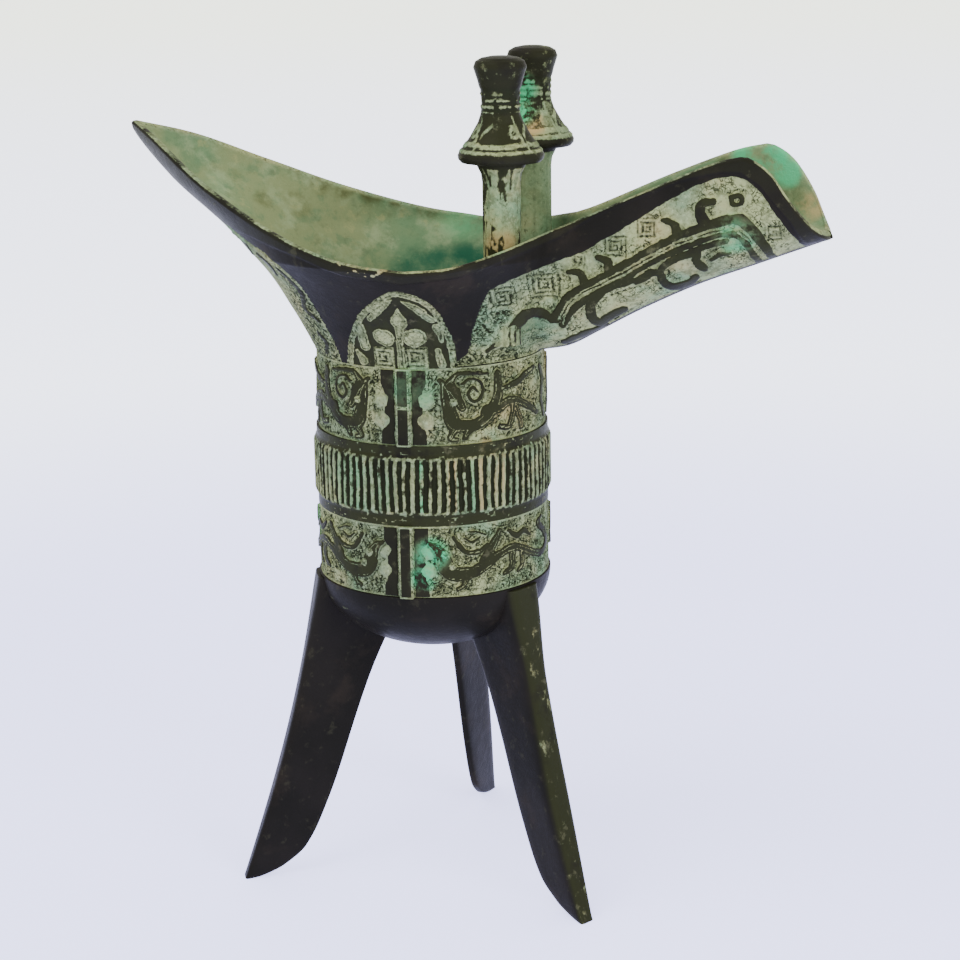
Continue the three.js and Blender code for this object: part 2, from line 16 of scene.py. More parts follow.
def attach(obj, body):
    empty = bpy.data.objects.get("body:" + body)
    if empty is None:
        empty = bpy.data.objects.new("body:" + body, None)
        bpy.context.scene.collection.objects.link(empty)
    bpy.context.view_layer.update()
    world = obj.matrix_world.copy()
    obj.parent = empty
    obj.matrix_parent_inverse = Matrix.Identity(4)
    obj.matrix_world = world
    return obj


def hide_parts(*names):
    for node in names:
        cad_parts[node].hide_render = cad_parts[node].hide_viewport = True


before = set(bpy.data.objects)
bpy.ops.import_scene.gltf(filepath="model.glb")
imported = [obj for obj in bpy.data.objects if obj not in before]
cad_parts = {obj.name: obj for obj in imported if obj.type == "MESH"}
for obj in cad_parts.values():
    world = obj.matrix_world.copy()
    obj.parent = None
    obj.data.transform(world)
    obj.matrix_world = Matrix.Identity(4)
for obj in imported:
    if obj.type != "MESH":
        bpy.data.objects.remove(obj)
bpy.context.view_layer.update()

# %% [markdown]
# ## Sizes
# The same sizes drive the solids, in millimetres. Heights count from the floor, and the body's axis is the
# line x = y = 0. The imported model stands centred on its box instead, so each finished point is moved there
# and turned into metres.

# %% Sizes of the cup
MM = 0.001
AXIS = (11.65, 3.1)  # how far the body's axis lies behind and in front of the box's centre

LEG_LENGTH = 84.5
BELLY_DROP = 20
LOWER_REGISTER = 18.8
GROOVE = 2.8
RIB_BAND = 15
UPPER_REGISTER = 19.7
NECK_HEIGHT = 26.7
TAIL_RISE = 30.6
SPOUT_RISE = 25
LIP_RISE = 4.2

BODY_RADIUS = 30.6
NECK_RADIUS = 30
WALL = 2.4
GROOVE_DEPTH = 0.7
RIM_HALF_WIDTH = 46.5
BOWL_FRONT = 37.5
TAIL_REACH = 79.5
SPOUT_REACH = 102.8
SPOUT_CORNER = 84
SPOUT_SKEW = 1.2
SPOUT_HALF_WIDTH = 15.3
SPOUT_FILLET = 16
FLANGE_TURN = 2

LOWER_TOP = LEG_LENGTH + LOWER_REGISTER
RIB_BOTTOM = LOWER_TOP + GROOVE
RIB_TOP = RIB_BOTTOM + RIB_BAND
UPPER_BOTTOM = RIB_TOP + GROOVE
NECK_Z = UPPER_BOTTOM + UPPER_REGISTER
RIM_LOW = NECK_Z + NECK_HEIGHT
TAIL_TOP = RIM_LOW + TAIL_RISE
SPOUT_TOP = RIM_LOW + SPOUT_RISE
LIP_Z = RIM_LOW + LIP_RISE
print("rim's lowest place:", round(RIM_LOW, 1), "mm, tail tip:", round(TAIL_TOP, 1), "mm")

# %% [markdown]
# ## The form of the vessel
# Above the neck the cup is shaped like a ship's hull: at each place along it and each height it has one half
# width. The rim, the keel under the spout and the keel under the tail are smooth curves through a few places.

# %% Curves
def curve_through(points):
    """A smooth curve through [place, height] pairs, read at an array of places."""
    places, heights = np.array(points, float).T
    last = len(places) - 1
    before = np.maximum(np.arange(last + 1) - 1, 0)
    after = np.minimum(np.arange(last + 1) + 1, last)
    slopes = (heights[after] - heights[before]) / (places[after] - places[before])

    def read(place):
        place = np.asarray(place, float)
        i = np.clip(np.searchsorted(places, place, side="right") - 1, 0, last - 1)
        span = places[i + 1] - places[i]
        t = np.clip((place - places[i]) / span, 0, 1)
        rise = 3 * t**2 - 2 * t**3
        bend = t * (1 - t) ** 2 * slopes[i] + t**2 * (t - 1) * slopes[i + 1]
        return heights[i] + (heights[i + 1] - heights[i]) * rise + bend * span

    return read


def smooth(value, low=0.0, high=1.0):
    share = np.clip((value - low) / (high - low), 0, 1)
    return share * share * (3 - 2 * share)


def mix(start, end, share):
    return start + (end - start) * share


# %% Rim and keels
TAIL_RIM = curve_through([[0, 0], [0.22, 0.09], [0.45, 0.3], [0.68, 0.59], [0.86, 0.85], [1, 1]])
SPOUT_RIM = curve_through([[0, 0], [0.15, 0.03], [0.4, 0.28], [0.7, 0.68], [0.9, 0.93], [1, 1]])
SPOUT_CUT = curve_through(
    [[0, 0], [0.18, 0.08], [0.35, 0.21], [0.52, 0.43], [0.68, 0.64], [0.83, 0.85], [1, 1]]
)
RIM_DIP = 6
SKEW_START = 60
SKEW_FADE = 9  # the two sides meet again over this length before the tip
TAIL_KEEL_TOP = 2.5
TAIL_KEEL = curve_through([[0, 0], [0.2, 0.12], [0.4, 0.26], [0.6, 0.49], [0.8, 0.8], [1, 1], [1.3, 1.1]])
SPOUT_KEEL = curve_through(
    [[0, 0], [0.1, 0.05], [0.2, 0.175], [0.35, 0.37], [0.55, 0.595], [0.75, 0.775], [1, 1]]
)
LIP_ROUND = 0.6
ROOT_SLOPE = 0.45
FRONT_EASE = 0.93  # where along its front the bowl starts to run out into the spout


def rim_height(x, side):
    skew = np.clip((x - SKEW_START) / (SPOUT_CORNER - SKEW_START), 0, 1)
    skew = skew * smooth(SPOUT_REACH - x, 0, SKEW_FADE)
    ahead = x - side * SPOUT_SKEW * skew
    tail = RIM_LOW + TAIL_RISE * TAIL_RIM((RIM_DIP - x) / (RIM_DIP + TAIL_REACH))
    spout = RIM_LOW + SPOUT_RISE * SPOUT_RIM((ahead - RIM_DIP) / (SPOUT_CORNER - RIM_DIP))
    share = np.clip((ahead - SPOUT_CORNER) / (SPOUT_REACH - SPOUT_CORNER), 0, 1)
    cut = mix(SPOUT_TOP, LIP_Z, SPOUT_CUT(share))
    return np.where(x < RIM_DIP, tail, np.where(ahead < SPOUT_CORNER, spout, cut))


def tail_reach_at(z, inset):
    share = np.maximum(0, (z - NECK_Z) / (TAIL_TOP - TAIL_KEEL_TOP - NECK_Z))
    reach = NECK_RADIUS + (TAIL_REACH - NECK_RADIUS) * TAIL_KEEL(share)
    return reach - inset * (1 + 0.3 * np.clip((z - NECK_Z) / NECK_HEIGHT, 0, 1))


def tail_keel(x, inset):
    """The height at which the tail reaches back to x, found by halving."""
    low = np.full_like(x, NECK_Z)
    high = np.full_like(x, TAIL_TOP + 20)
    for _ in range(40):
        middle = (low + high) / 2
        short = tail_reach_at(middle, inset) < -x
        low = np.where(short, middle, low)
        high = np.where(short, high, middle)
    return high


def spout_keel(x, inset):
    share = (x - NECK_RADIUS) / (SPOUT_REACH - NECK_RADIUS)
    level = np.where(
        share < 0, ROOT_SLOPE * (x - NECK_RADIUS), (LIP_Z - LIP_ROUND - NECK_Z) * SPOUT_KEEL(share)
    )
    lift = ROOT_SLOPE + 0.65 * smooth((x - NECK_RADIUS + inset) / 10)
    return NECK_Z + level + inset * lift


# %% Half width of the hull
def front_run_out(x, side, front):
    """Past the eased front, the bowl's half width falls off gently instead of closing at once."""
    start = FRONT_EASE * front
    width = side * math.sqrt(1 - FRONT_EASE**2)
    slope = side * FRONT_EASE / (front * math.sqrt(1 - FRONT_EASE**2))
    return np.where(x < start, 0, width * np.exp(-np.maximum(0, x - start) * slope / width))


def half_breadth(x, z, inset):
    up = np.clip((z - NECK_Z) / NECK_HEIGHT, 0, 1)
    flare = up**1.5
    side = mix(NECK_RADIUS, RIM_HALF_WIDTH, flare) - inset
    front = mix(NECK_RADIUS, BOWL_FRONT, flare) - inset
    high = np.clip((z - NECK_Z) / (TAIL_TOP - NECK_Z), 0, 1.1)
    sharpness = np.where(x > 0, 0.5, 0.5 + 0.55 * high**3.3)
    reach = np.where(x > 0, front, tail_reach_at(z, inset))
    bowl = side * np.maximum(0, 1 - (x / reach) ** 2) ** sharpness
    rise = np.maximum(0, z - spout_keel(x, inset))
    bend = SPOUT_HALF_WIDTH - inset
    bowl = np.maximum(bowl, front_run_out(x, side, front) * smooth(rise / bend))
    trough = np.where(rise < bend, np.sqrt(np.maximum(0, (2 * bend - rise) * rise)), bend)
    spout = np.where(x < 0, 0, trough)
    blend = np.minimum(SPOUT_FILLET, 2 * np.minimum(bowl, spout)) * np.clip(4 * up, 0, 1)
    overlap = np.maximum(0, blend - np.abs(bowl - spout)) / np.maximum(blend, 1e-9)
    return np.maximum(bowl, spout) + overlap**2 * blend / 4


print("half width over the axis at the rim:", round(float(half_breadth(np.array(0.0), RIM_LOW, 0)), 1), "mm")

# %% [markdown]
# ## Drawing on a surface
# The relief is drawn as strokes on a flat map of the surface, in millimetres. Each stroke is a smooth line
# with a width that changes along it. What a point needs is how deep it lies inside the nearest stroke, and
# from that come its height and its colour.

# %% Strokes
FAR_OUT = -99.0  # millimetres inside a stroke, before any stroke has been met


def smooth_line(points, per_span=7):
    """A smooth line through a few given points, as many short straight steps."""
    given = np.array(points, float)
    ends = np.vstack([2 * given[0] - given[1], given, 2 * given[-1] - given[-2]])
    steps = np.linspace(0, 1, per_span, endpoint=False)[:, None]
    made = []
    for p0, p1, p2, p3 in zip(ends, ends[1:], ends[2:], ends[3:]):
        turn = 2 * p1 + (p2 - p0) * steps + (2 * p0 - 5 * p1 + 4 * p2 - p3) * steps**2
        made.append((turn + (3 * p1 - p0 - 3 * p2 + p3) * steps**3) / 2)
    return np.vstack([*made, given[-1:]])


def inside_stroke(across, up, points, widths):
    """How many millimetres each place lies inside a stroke: below zero outside it."""
    line = smooth_line(points)
    share = np.linspace(0, 1, len(line))
    half = np.interp(share, np.linspace(0, 1, len(widths)), widths) / 2
    best = np.full(across.shape, FAR_OUT)
    for (a, b), (c, d), start, end in zip(line, line[1:], half, half[1:]):
        along = np.array([c - a, d - b])
        length = max(along @ along, 1e-9)
        t = np.clip(((across - a) * along[0] + (up - b) * along[1]) / length, 0, 1)
        gap = np.hypot(across - a - t * along[0], up - b - t * along[1])
        best = np.maximum(best, mix(start, end, t) - gap)
    return best


def noise_map(u, v, seed):
    """Smooth chance between -1 and 1 on a flat map, with one swell to a unit."""
    column, row = np.floor(u), np.floor(v)

    def corner(right, over):
        value = np.sin((column + right) * 12.9898 + (row + over) * 78.233 + seed * 37.719) * 43758.5453
        return 2 * (value - np.floor(value)) - 1

    share_u, share_v = smooth(u - column), smooth(v - row)
    low = mix(corner(0, 0), corner(1, 0), share_u)
    high = mix(corner(0, 1), corner(1, 1), share_u)
    return mix(low, high, share_v)


def hand_drawn(across, up, stray):
    """The flat map with small strays, so that lines waver as lines cut by hand do."""
    aside = noise_map(across / 1.4, up / 1.4, 1) + 0.5 * noise_map(across / 0.6, up / 0.6, 2)
    above = noise_map(across / 1.4, up / 1.4, 3) + 0.5 * noise_map(across / 0.6, up / 0.6, 4)
    return across + stray * aside, up + stray * above


def inside_dot(across, up, x, z, radius):
    return radius - np.hypot(across - x, up - z)


def square_winding(u, v):
    """Each place's distance from the middle of a square spiral, and its share of a turn round it."""
    reach = np.maximum(np.abs(u), np.abs(v))
    sides = [(u >= 0) & (np.abs(v) <= u), v > np.abs(u), u < -np.abs(v)]
    return reach, np.select(sides, [0, 0.25, 0.5], 0.75)


def spiral_ground(across, up, cell, pitch):
    """Thin cut lines that wind into square spirals, one to a cell: 1 in a line and 0 beside it."""
    across, up = hand_drawn(across, up, 0.3)
    column, row = np.floor(across / cell), np.floor(up / cell)
    u = across - (column + 0.5) * cell
    v = up - (row + 0.5) * cell
    u = np.where((column + row) % 2 > 0, -u, u)
    reach, quarter = square_winding(u, v)
    phase = (reach / pitch + quarter) % 1
    return smooth(0.36 - np.abs(phase - 0.5), 0, 0.12)


# %% [markdown]
# ## Pieces
# Each piece is a bmesh that becomes an object at the origin, with its place in its mesh. Relief is added once
# the mesh is closed, by moving its points, and what the material has to know of it is kept in attributes.

# %% Places with a tint of their own
TINTS = {
    "green": [
        ((81, -14, 176), 5, 0.6), ((80, 13, 193), 4, 0.9), ((86, 13, 191), 4.5, 1), ((90, 13, 188), 3.5, 0.9),
        ((7.5, -30, 96), 4.4, 1), ((5.6, -30, 90), 3.4, 0.9), ((4, -30, 139), 6, 0.3),
        ((21.5, 11, 208), 4.6, 1), ((21.5, 11, 203.5), 4.6, 1), ((31, -24, 150), 4, 0.5),
        ((20, 24, 110), 9, 0.6), ((-24, 20, 132), 8, 0.6), ((16, 26, 178), 10, 0.4), ((-29, -8, 98), 6, 0.4),
        ((-2, 42, 172), 7, 0.3),
    ],
    "warm": [
        ((25, -16.8, 128), 5, 0.55), ((24.5, -21, 173), 4, 0.7), ((60, -14, 172), 8, 0.25),
        ((-18, 25, 90), 8, 0.5), ((28, 10, 136), 7, 0.5), ((96, 10, 180), 4, 0.6),
        ((25, 10.5, 199), 3.6, 1), ((22, -20, 124), 5, 0.5),
    ],
    "deep": [
        ((-14, 33, 156), 7, 0.9), ((-7, 35, 157), 7, 0.9), ((1, 36, 157), 8, 1), ((26, -12, 153), 8, 0.5),
    ],
    "smudge": [
        ((-20, 41.5, 176), 3.4, 1), ((-26, 37, 177.5), 3.4, 0.8), ((-33, 33, 179.5), 3.4, 0.6),
        ((-43, 22, 176), 4, 0.4), ((-38, 29, 181), 3, 0.6), ((-12, 42, 173), 3, 0.6),
        ((-55, 13, 187), 3, 0.4), ((90, 12, 180), 6, 0.4), ((-50, 14, 178), 3, 0.4), ((76, 13, 190), 4, 0.5),
    ],
}


def tint(points, places):
    """How strongly each point takes a tint, from a few soft round places."""
    strength = np.zeros(len(points))
    for centre, radius, amount in places:
        away = np.linalg.norm(points - np.array(centre, float), axis=1)
        strength = np.maximum(strength, amount * smooth(1.35 * radius - away, 0, 0.7 * radius))
    return strength


# %% From a bmesh to a piece
SHARP_ANGLE = math.radians(60)
WELD = 0.004  # points closer together than this, in millimetres, become one


def to_frame(x, y, z):
    return np.stack([(x - AXIS[0]) * MM, (y - AXIS[1]) * MM, z * MM * np.ones_like(x)], -1)


def read_points(mesh):
    flat = np.empty(len(mesh.vertices) * 3)
    mesh.vertices.foreach_get("co", flat)
    return flat.reshape(-1, 3)


def set_attribute(mesh, name, values):
    made = mesh.attributes.new(name, "FLOAT", "POINT")
    made.data.foreach_set("value", np.asarray(values, np.float32))


def make_piece(name, bm, material, shape):
    """shape(points, mesh) returns the finished points in millimetres and the attributes of each."""
    bmesh.ops.remove_doubles(bm, verts=bm.verts, dist=WELD)
    bmesh.ops.recalc_face_normals(bm, faces=bm.faces)
    for edge in bm.edges:
        edge.smooth = edge.calc_face_angle(0) < SHARP_ANGLE
    mesh = bpy.data.meshes.new(name)
    bm.to_mesh(mesh)
    bm.free()
    points, attributes = shape(read_points(mesh), mesh)
    mesh.vertices.foreach_set("co", to_frame(*points.T).ravel())
    for key, places in TINTS.items():
        attributes[key] = np.maximum(attributes.get(key, 0), tint(points, places))
    for attribute, values in attributes.items():
        set_attribute(mesh, attribute, values)
    mesh.polygons.foreach_set("use_smooth", np.ones(len(mesh.polygons), bool))
    mesh.update()
    piece = bpy.data.objects.new(name, mesh)
    bpy.context.scene.collection.objects.link(piece)
    mesh.materials.append(material)
    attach(piece, "root")
    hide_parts("wine_cup")
    print(name, "has", len(mesh.polygons), "faces")


# %% [markdown]
# ## The bronze
# The real surface is one metal with two faces. Where hands and cloth reached it, it is smooth and almost
# black with a soft sheen. Where the relief is cut back, copper salts have settled as a pale green crust with
# yellow and tan patches. One material does both, led by what each point knows of the relief.
# Some pale lines along edges are painted highlights, and the dark of the cut lines is partly dirt and partly
# painted shade.

# %% Shader helpers
class Socket:
    """A number in the shader, so that a sum is written as a sum."""

    def __init__(self, tree, source):
        self.tree, self.source = tree, source

    def _math(self, operation, *values):
        return self.tree.add("ShaderNodeMath", {"operation": operation}, dict(enumerate(values)))

    def __add__(self, other):
        return self._math("ADD", self, other)

    def __radd__(self, other):
        return self._math("ADD", other, self)

    def __sub__(self, other):
        return self._math("SUBTRACT", self, other)

    def __rsub__(self, other):
        return self._math("SUBTRACT", other, self)

    def __mul__(self, other):
        return self._math("MULTIPLY", self, other)

    def __rmul__(self, other):
        return self._math("MULTIPLY", other, self)

    def __abs__(self):
        return self._math("ABSOLUTE", self)

    def clip(self):
        return self.tree.add("ShaderNodeClamp", {}, {"Value": self})


class Finish:
    """A material under construction, with one method that adds any node."""

    def __init__(self, name):
        self.material = bpy.data.materials.new(name)
        self.material.use_nodes = True
        self.nodes = self.material.node_tree.nodes
        self.links = self.material.node_tree.links
        self.shader = self.nodes["Principled BSDF"]
        self.place = self.add("ShaderNodeTexCoord", {}, {}, "Object")

    def plug(self, socket, value):
        if isinstance(value, Socket):
            self.links.new(value.source, socket)
        elif value is not None:
            socket.default_value = value

    def add(self, kind, settings, values, output=0):
        node = self.nodes.new(kind)
        for key, value in settings.items():
            setattr(node, key, value)
        for key, value in values.items():
            self.plug(node.inputs[key], value)
        return Socket(self, node.outputs[output])

    def known(self, attribute):
        return self.add("ShaderNodeAttribute", {"attribute_name": attribute}, {}, "Fac")

    def noise(self, scale, detail=4, roughness=0.55):
        values = {"Vector": self.place, "Scale": scale, "Detail": detail, "Roughness": roughness}
        return self.add("ShaderNodeTexNoise", {}, values, 0)

    def step(self, value, low, high):
        """0 below low, 1 above high and smooth between."""
        values = {"Value": value, "From Min": low, "From Max": high}
        return self.add("ShaderNodeMapRange", {"interpolation_type": "SMOOTHSTEP"}, values)

    def blend(self, share, start, end):
        colours = [value if isinstance(value, Socket) else (*value, 1) for value in (start, end)]
        values = {"Factor": share, 6: colours[0], 7: colours[1]}
        return self.add("ShaderNodeMix", {"data_type": "RGBA"}, values, 2)


def tone(red, green, blue):
    """A colour from how it looks on a screen, 0 to 255, to the light it stands for."""
    shares = [v / 255 for v in (red, green, blue)]
    return tuple(s / 12.92 if s <= 0.04045 else ((s + 0.055) / 1.055) ** 2.4 for s in shares)


# %% Bronze with a crust in the relief
def bronze_finish():
    f = Finish("bronze")
    pale, line, inside, ground = f.known("pale"), f.known("line"), f.known("inside"), f.known("ground")
    green, warm, deep = f.known("green"), f.known("warm"), f.known("deep")
    olive, smudge = f.known("olive"), f.known("smudge")
    broad, cloud = f.noise(38, 3), f.noise(85, 5, 0.62)
    fine, grain = f.noise(280, 6, 0.68), f.noise(1100, 4, 0.7)
    worm = 1 - f.step(abs(f.noise(780, 1.5, 0.5) - 0.5), 0.012, 0.055)
    chips = f.step(fine, 0.58, 0.68)

    metal = f.blend(f.step(broad, 0.38, 0.66), tone(21, 20, 17), tone(26, 24, 21))
    metal = f.blend(f.step(cloud, 0.52, 0.72) * 0.6, metal, tone(36, 31, 25))
    metal = f.blend(olive * f.step(cloud, 0.28, 0.5), metal, tone(35, 37, 22))
    metal = f.blend(chips * (0.12 + 0.4 * olive), metal, tone(76, 76, 56))

    crust = f.blend(f.step(broad, 0.42, 0.58), tone(102, 115, 86), tone(125, 132, 92))
    crust = f.blend(f.step(cloud, 0.5, 0.66) * 0.6, crust, tone(134, 130, 90))
    crust = f.blend(f.step(f.noise(64, 4, 0.6), 0.53, 0.66) * 0.55, crust, tone(90, 124, 94))
    crust = f.blend(f.step(fine, 0.48, 0.6) * 0.6, crust, tone(74, 80, 54))
    crust = f.blend(f.step(grain, 0.54, 0.7) * 0.45, crust, tone(150, 162, 124))
    crust = f.blend(f.step(grain, 0.46, 0.34) * 0.6, crust, tone(54, 58, 38))

    patches = f.noise(150, 5, 0.65)
    bowl = f.blend(f.step(broad, 0.4, 0.6), tone(84, 108, 78), tone(104, 114, 80))
    bowl = f.blend(f.step(cloud, 0.48, 0.64) * 0.6, bowl, tone(122, 136, 102))
    bowl = f.blend(f.step(patches, 0.5, 0.64) * 0.5, bowl, tone(70, 96, 70))
    bowl = f.blend(f.step(patches, 0.42, 0.3) * 0.5, bowl, tone(128, 130, 88))
    bowl = f.blend(f.step(fine, 0.54, 0.7) * 0.35, bowl, tone(66, 76, 56))
    bowl = f.blend(smudge * f.step(patches, 0.36, 0.56), bowl, tone(58, 56, 26))
    crust = f.blend(inside, crust, bowl)
    crust = f.blend(deep * f.step(broad + 0.5 * (patches - 0.5), 0.26, 0.5), crust, tone(30, 72, 54))
    crust = f.blend(warm * f.step(cloud, 0.38, 0.54), crust, tone(146, 126, 84))
    crust = f.blend(green * f.step(cloud, 0.36, 0.54), crust, tone(60, 150, 102))

    share = f.step(pale + (fine - 0.5) * 0.7 + (grain - 0.5) * 0.5, 0.34, 0.6)
    spots = green * f.step(fine, 0.42, 0.58) * 0.6 + warm * f.step(fine, 0.5, 0.66) * 0.3
    share = (share + spots).clip()
    colour = f.blend(share, metal, crust)
    # The cut lines, slots and fine squiggles are painted dark: partly dirt settled in them, partly painted
    # shade in the grooves.
    cut = (line * (1 - 0.5 * f.step(grain, 0.42, 0.62)) + ground * worm * 0.85).clip()
    colour = f.blend(cut, colour, tone(27, 31, 19))
    f.plug(f.shader.inputs["Base Color"], colour)
    f.plug(f.shader.inputs["Roughness"], 0.4 + 0.35 * share + 0.3 * (fine - 0.5))
    f.plug(f.shader.inputs["Specular IOR Level"], 0.02)
    height = grain * (0.25 + 0.75 * share) + fine * 0.9 - ground * worm * 0.5
    bump = f.add("ShaderNodeBump", {}, {"Height": height, "Strength": 0.45, "Distance": 0.0004})
    f.plug(f.shader.inputs["Normal"], bump)
    return f.material


BRONZE = bronze_finish()
print("material:", BRONZE.name)

# %% [markdown]
# ## The bowl, spout and tail
# The hull is drawn twice, on the near and the far side, as a grid bent into place. Each grid runs from the
# keel up the outside, over the lip and down the inside, so the wall has its true thickness. Each half is
# closed on its own, and the two meet along the keels.

# %% Places along the hull
def crowd(start, end, count, towards):
    """Places from start to end that lie closer together towards one of them."""
    share = np.linspace(0, 1, count, endpoint=False)
    share = share**2 if towards == start else 1 - (1 - share) ** 2
    return start + (end - start) * share


def even(start, end, count):
    return np.linspace(start, end, count, endpoint=False)


STATIONS = np.concatenate(
    [
        crowd(SPOUT_REACH, 99, 16, SPOUT_REACH), even(99, 37, 170), even(37, NECK_RADIUS, 60),
        crowd(NECK_RADIUS, 22, 40, NECK_RADIUS), even(22, 15, 18), even(15, -16, 98), even(-16, -22, 18),
        crowd(-22, -NECK_RADIUS, 36, -NECK_RADIUS), even(-NECK_RADIUS, -54, 66), even(-54, -76, 26),
        crowd(-76, -TAIL_REACH, 14, -TAIL_REACH), [-TAIL_REACH],
    ]
)
OUTSIDE_ROWS = 112
LIP_ROWS = 8
INSIDE_ROWS = 26
LIP_HEIGHT = 0.45 * WALL
TAIL_WALL = 3.12  # along the cup, at the tail's tip
SPOUT_WALL = 1.9  # along the cup, at the spout's tip


def inner_place(x):
    """The inside surface's place along the cup that belongs to one on the outside."""
    reach = np.where(x > 0, SPOUT_REACH, TAIL_REACH)
    past = np.clip((np.abs(x) - NECK_RADIUS) / (reach - NECK_RADIUS), 0, 1)
    wall = mix(WALL, np.where(x > 0, SPOUT_WALL, TAIL_WALL), past)
    return x - np.sign(x) * wall * np.clip(np.abs(x) / NECK_RADIUS, 0, 1)


def hull_bottom(x, inset):
    """Where the outside or inside of the hull starts: the neck's circle or a keel."""
    radius = NECK_RADIUS - inset
    low = np.where(x > radius, spout_keel(x, inset), NECK_Z)
    return np.where(x < -radius, tail_keel(np.minimum(x, -radius), inset), low)


def section(x, side, inset, rows):
    """Width and height up the hull at each station, evenly spaced along the surface."""
    low = hull_bottom(x, inset)[:, None]
    high = rim_height(x, side)[:, None] - LIP_HEIGHT
    if inset > 0:
        low = np.minimum(low, high)  # past the end of the trough the tip is solid up to its rim
    high = np.maximum(low, high)
    z = low + (high - low) * np.linspace(0, 1, 400) ** 2
    width = half_breadth(x[:, None], z, inset)
    width[np.abs(x) >= NECK_RADIUS - inset - 1e-6, 0] = 0
    run = np.cumsum(np.hypot(np.diff(z, prepend=z[:, :1]), np.diff(width, prepend=width[:, :1])), axis=1)
    at = np.linspace(0, 1, rows + 1)
    even_z = np.array([np.interp(at * r[-1], r, h) for r, h in zip(run, z)])
    even_width = np.array([np.interp(at * r[-1], r, w) for r, w in zip(run, width)])
    return even_width, even_z


# %% One half of the hull, closed all round
def hull_half(side):
    out_width, out_z = section(STATIONS, side, 0, OUTSIDE_ROWS)
    inner_x = inner_place(STATIONS)
    in_width, in_z = section(inner_x, side, WALL, INSIDE_ROWS)
    turn = np.linspace(0, math.pi, LIP_ROWS + 1)[1:-1]
    share = (1 - np.cos(turn)) / 2
    across = lambda first, last: mix(first[:, None], last[:, None], share)
    x = np.hstack(
        [np.tile(STATIONS[:, None], OUTSIDE_ROWS + 1), across(STATIONS, inner_x),
         np.tile(inner_x[:, None], INSIDE_ROWS + 1), STATIONS[:, None]]
    )
    top = across(out_width[:, -1], in_width[:, -1])
    width = np.hstack([out_width, top, in_width[:, ::-1], out_width[:, :1]])
    lip = across(out_z[:, -1], in_z[:, -1]) + LIP_HEIGHT * np.sin(turn)
    z = np.hstack([out_z, lip, in_z[:, ::-1], out_z[:, :1]])
    width[[0, -1]] = 0
    rows = x.shape[1] - 1
    bm = bmesh.new()
    outside = bm.verts.layers.float.new("outside")
    made = bmesh.ops.create_grid(bm, x_segments=len(STATIONS) - 1, y_segments=rows, size=0.5)["verts"]
    flat = np.array([v.co[:2] for v in made]) + 0.5
    station = np.rint(flat[:, 0] * (len(STATIONS) - 1)).astype(int)
    row = np.rint(flat[:, 1] * rows).astype(int)
    skin = np.clip(1 - (row - OUTSIDE_ROWS) / LIP_ROWS, 0, 1)
    skin[row == rows] = 1
    points = np.stack([x[station, row], side * width[station, row], z[station, row]], -1)
    for vert, point, share in zip(made, points, skin):
        vert.co = point
        vert[outside] = share
    bmesh.ops.remove_doubles(bm, verts=bm.verts, dist=WELD)
    rest = [e for e in bm.edges if e.is_boundary]
    bmesh.ops.holes_fill(bm, edges=rest, sides=0)
    print("hull half: edges left open", sum(e.is_boundary for e in bm.edges), "after closing", len(rest))
    return bm


# %% [markdown]
# ## What is carved on the hull
# Along each side of the spout runs a long dragon's body, drawn as three dark bands over a pale ground of
# square spirals. On the neck stands a pointed leaf with lobes, and along the tail a blade-shaped panel.

# %% Strokes on the spout
SPOUT_DARK = [
    ([[20.9, 3.5], [24.6, 6.1], [27.6, 9.7], [30.2, 12.3], [32.7, 12.3], [35.4, 10.5], [37.7, 13]],
     [0.6, 2.4, 2.6, 2.2]),
    ([[36.2, 10.5], [39.7, 16.1], [44.4, 19.2], [53.7, 24.3], [61.9, 29.3], [71.5, 33.8], [79.7, 36.4],
      [83, 35.9], [85.2, 32.9], [87.5, 29.4], [88.9, 25.5]], [2.2, 2.2, 2.2, 2.4, 3, 1.8]),
    ([[37.9, 8.9], [40.7, 12.9], [44.2, 16], [53.4, 21.5], [63.9, 27.6], [75.2, 32.4], [79.7, 33],
      [82.2, 32.2], [84, 29.5], [85.4, 25]], [1.6, 1.8, 1.8, 1.8, 2, 1.5]),
    ([[40, 22.8], [42.9, 22.4], [44.2, 19.1]], [1.2, 2.2]),
    ([[47.2, 26.6], [49.7, 25.5], [50.4, 22.6], [54, 24.9]], [1.2, 2.2, 2.2]),
    ([[63.4, 36], [66.2, 34.9], [66.9, 31.2]], [1, 2.4]),
    ([[75.7, 40.8], [72.9, 40.2], [72.4, 37.4], [74.2, 34.8]], [1.2, 2.2, 3.2]),
    ([[52.6, 12.6], [49.4, 10.8], [46.2, 8.8], [44.9, 12.1], [45.9, 15.4], [49.4, 18.4], [53.4, 19.9],
      [57.2, 20.8], [60.2, 22.7]], [1.6, 2.2, 2.2, 1.6]),
    ([[59.5, 22.6], [62.2, 22.8], [62.9, 20.4], [64.9, 18.5], [68.5, 19.3], [70.4, 21.2]], [1.6, 2.1, 1.6]),
    ([[62.4, 23.3], [64.4, 25.3], [68.2, 27.2], [71.3, 28], [71.2, 25.8], [72.7, 23.8]], [1.4, 1.8, 2.2]),
    ([[70.2, 28.3], [75.2, 30.1], [78.7, 31]], [1.4, 1.2]),
    ([[37, 3.4], [42, 5.6], [47.5, 7.4]], [1.2, 1.8, 1]),
    ([[79.8, 41.8], [81.8, 42.4], [82.4, 40.6], [80.4, 40.2], [79.8, 41.8]], [0.9, 0.9]),
    ([[74.8, 26], [77, 27.4], [79.4, 27.6]], [0.8, 1.1, 0.6]),
]
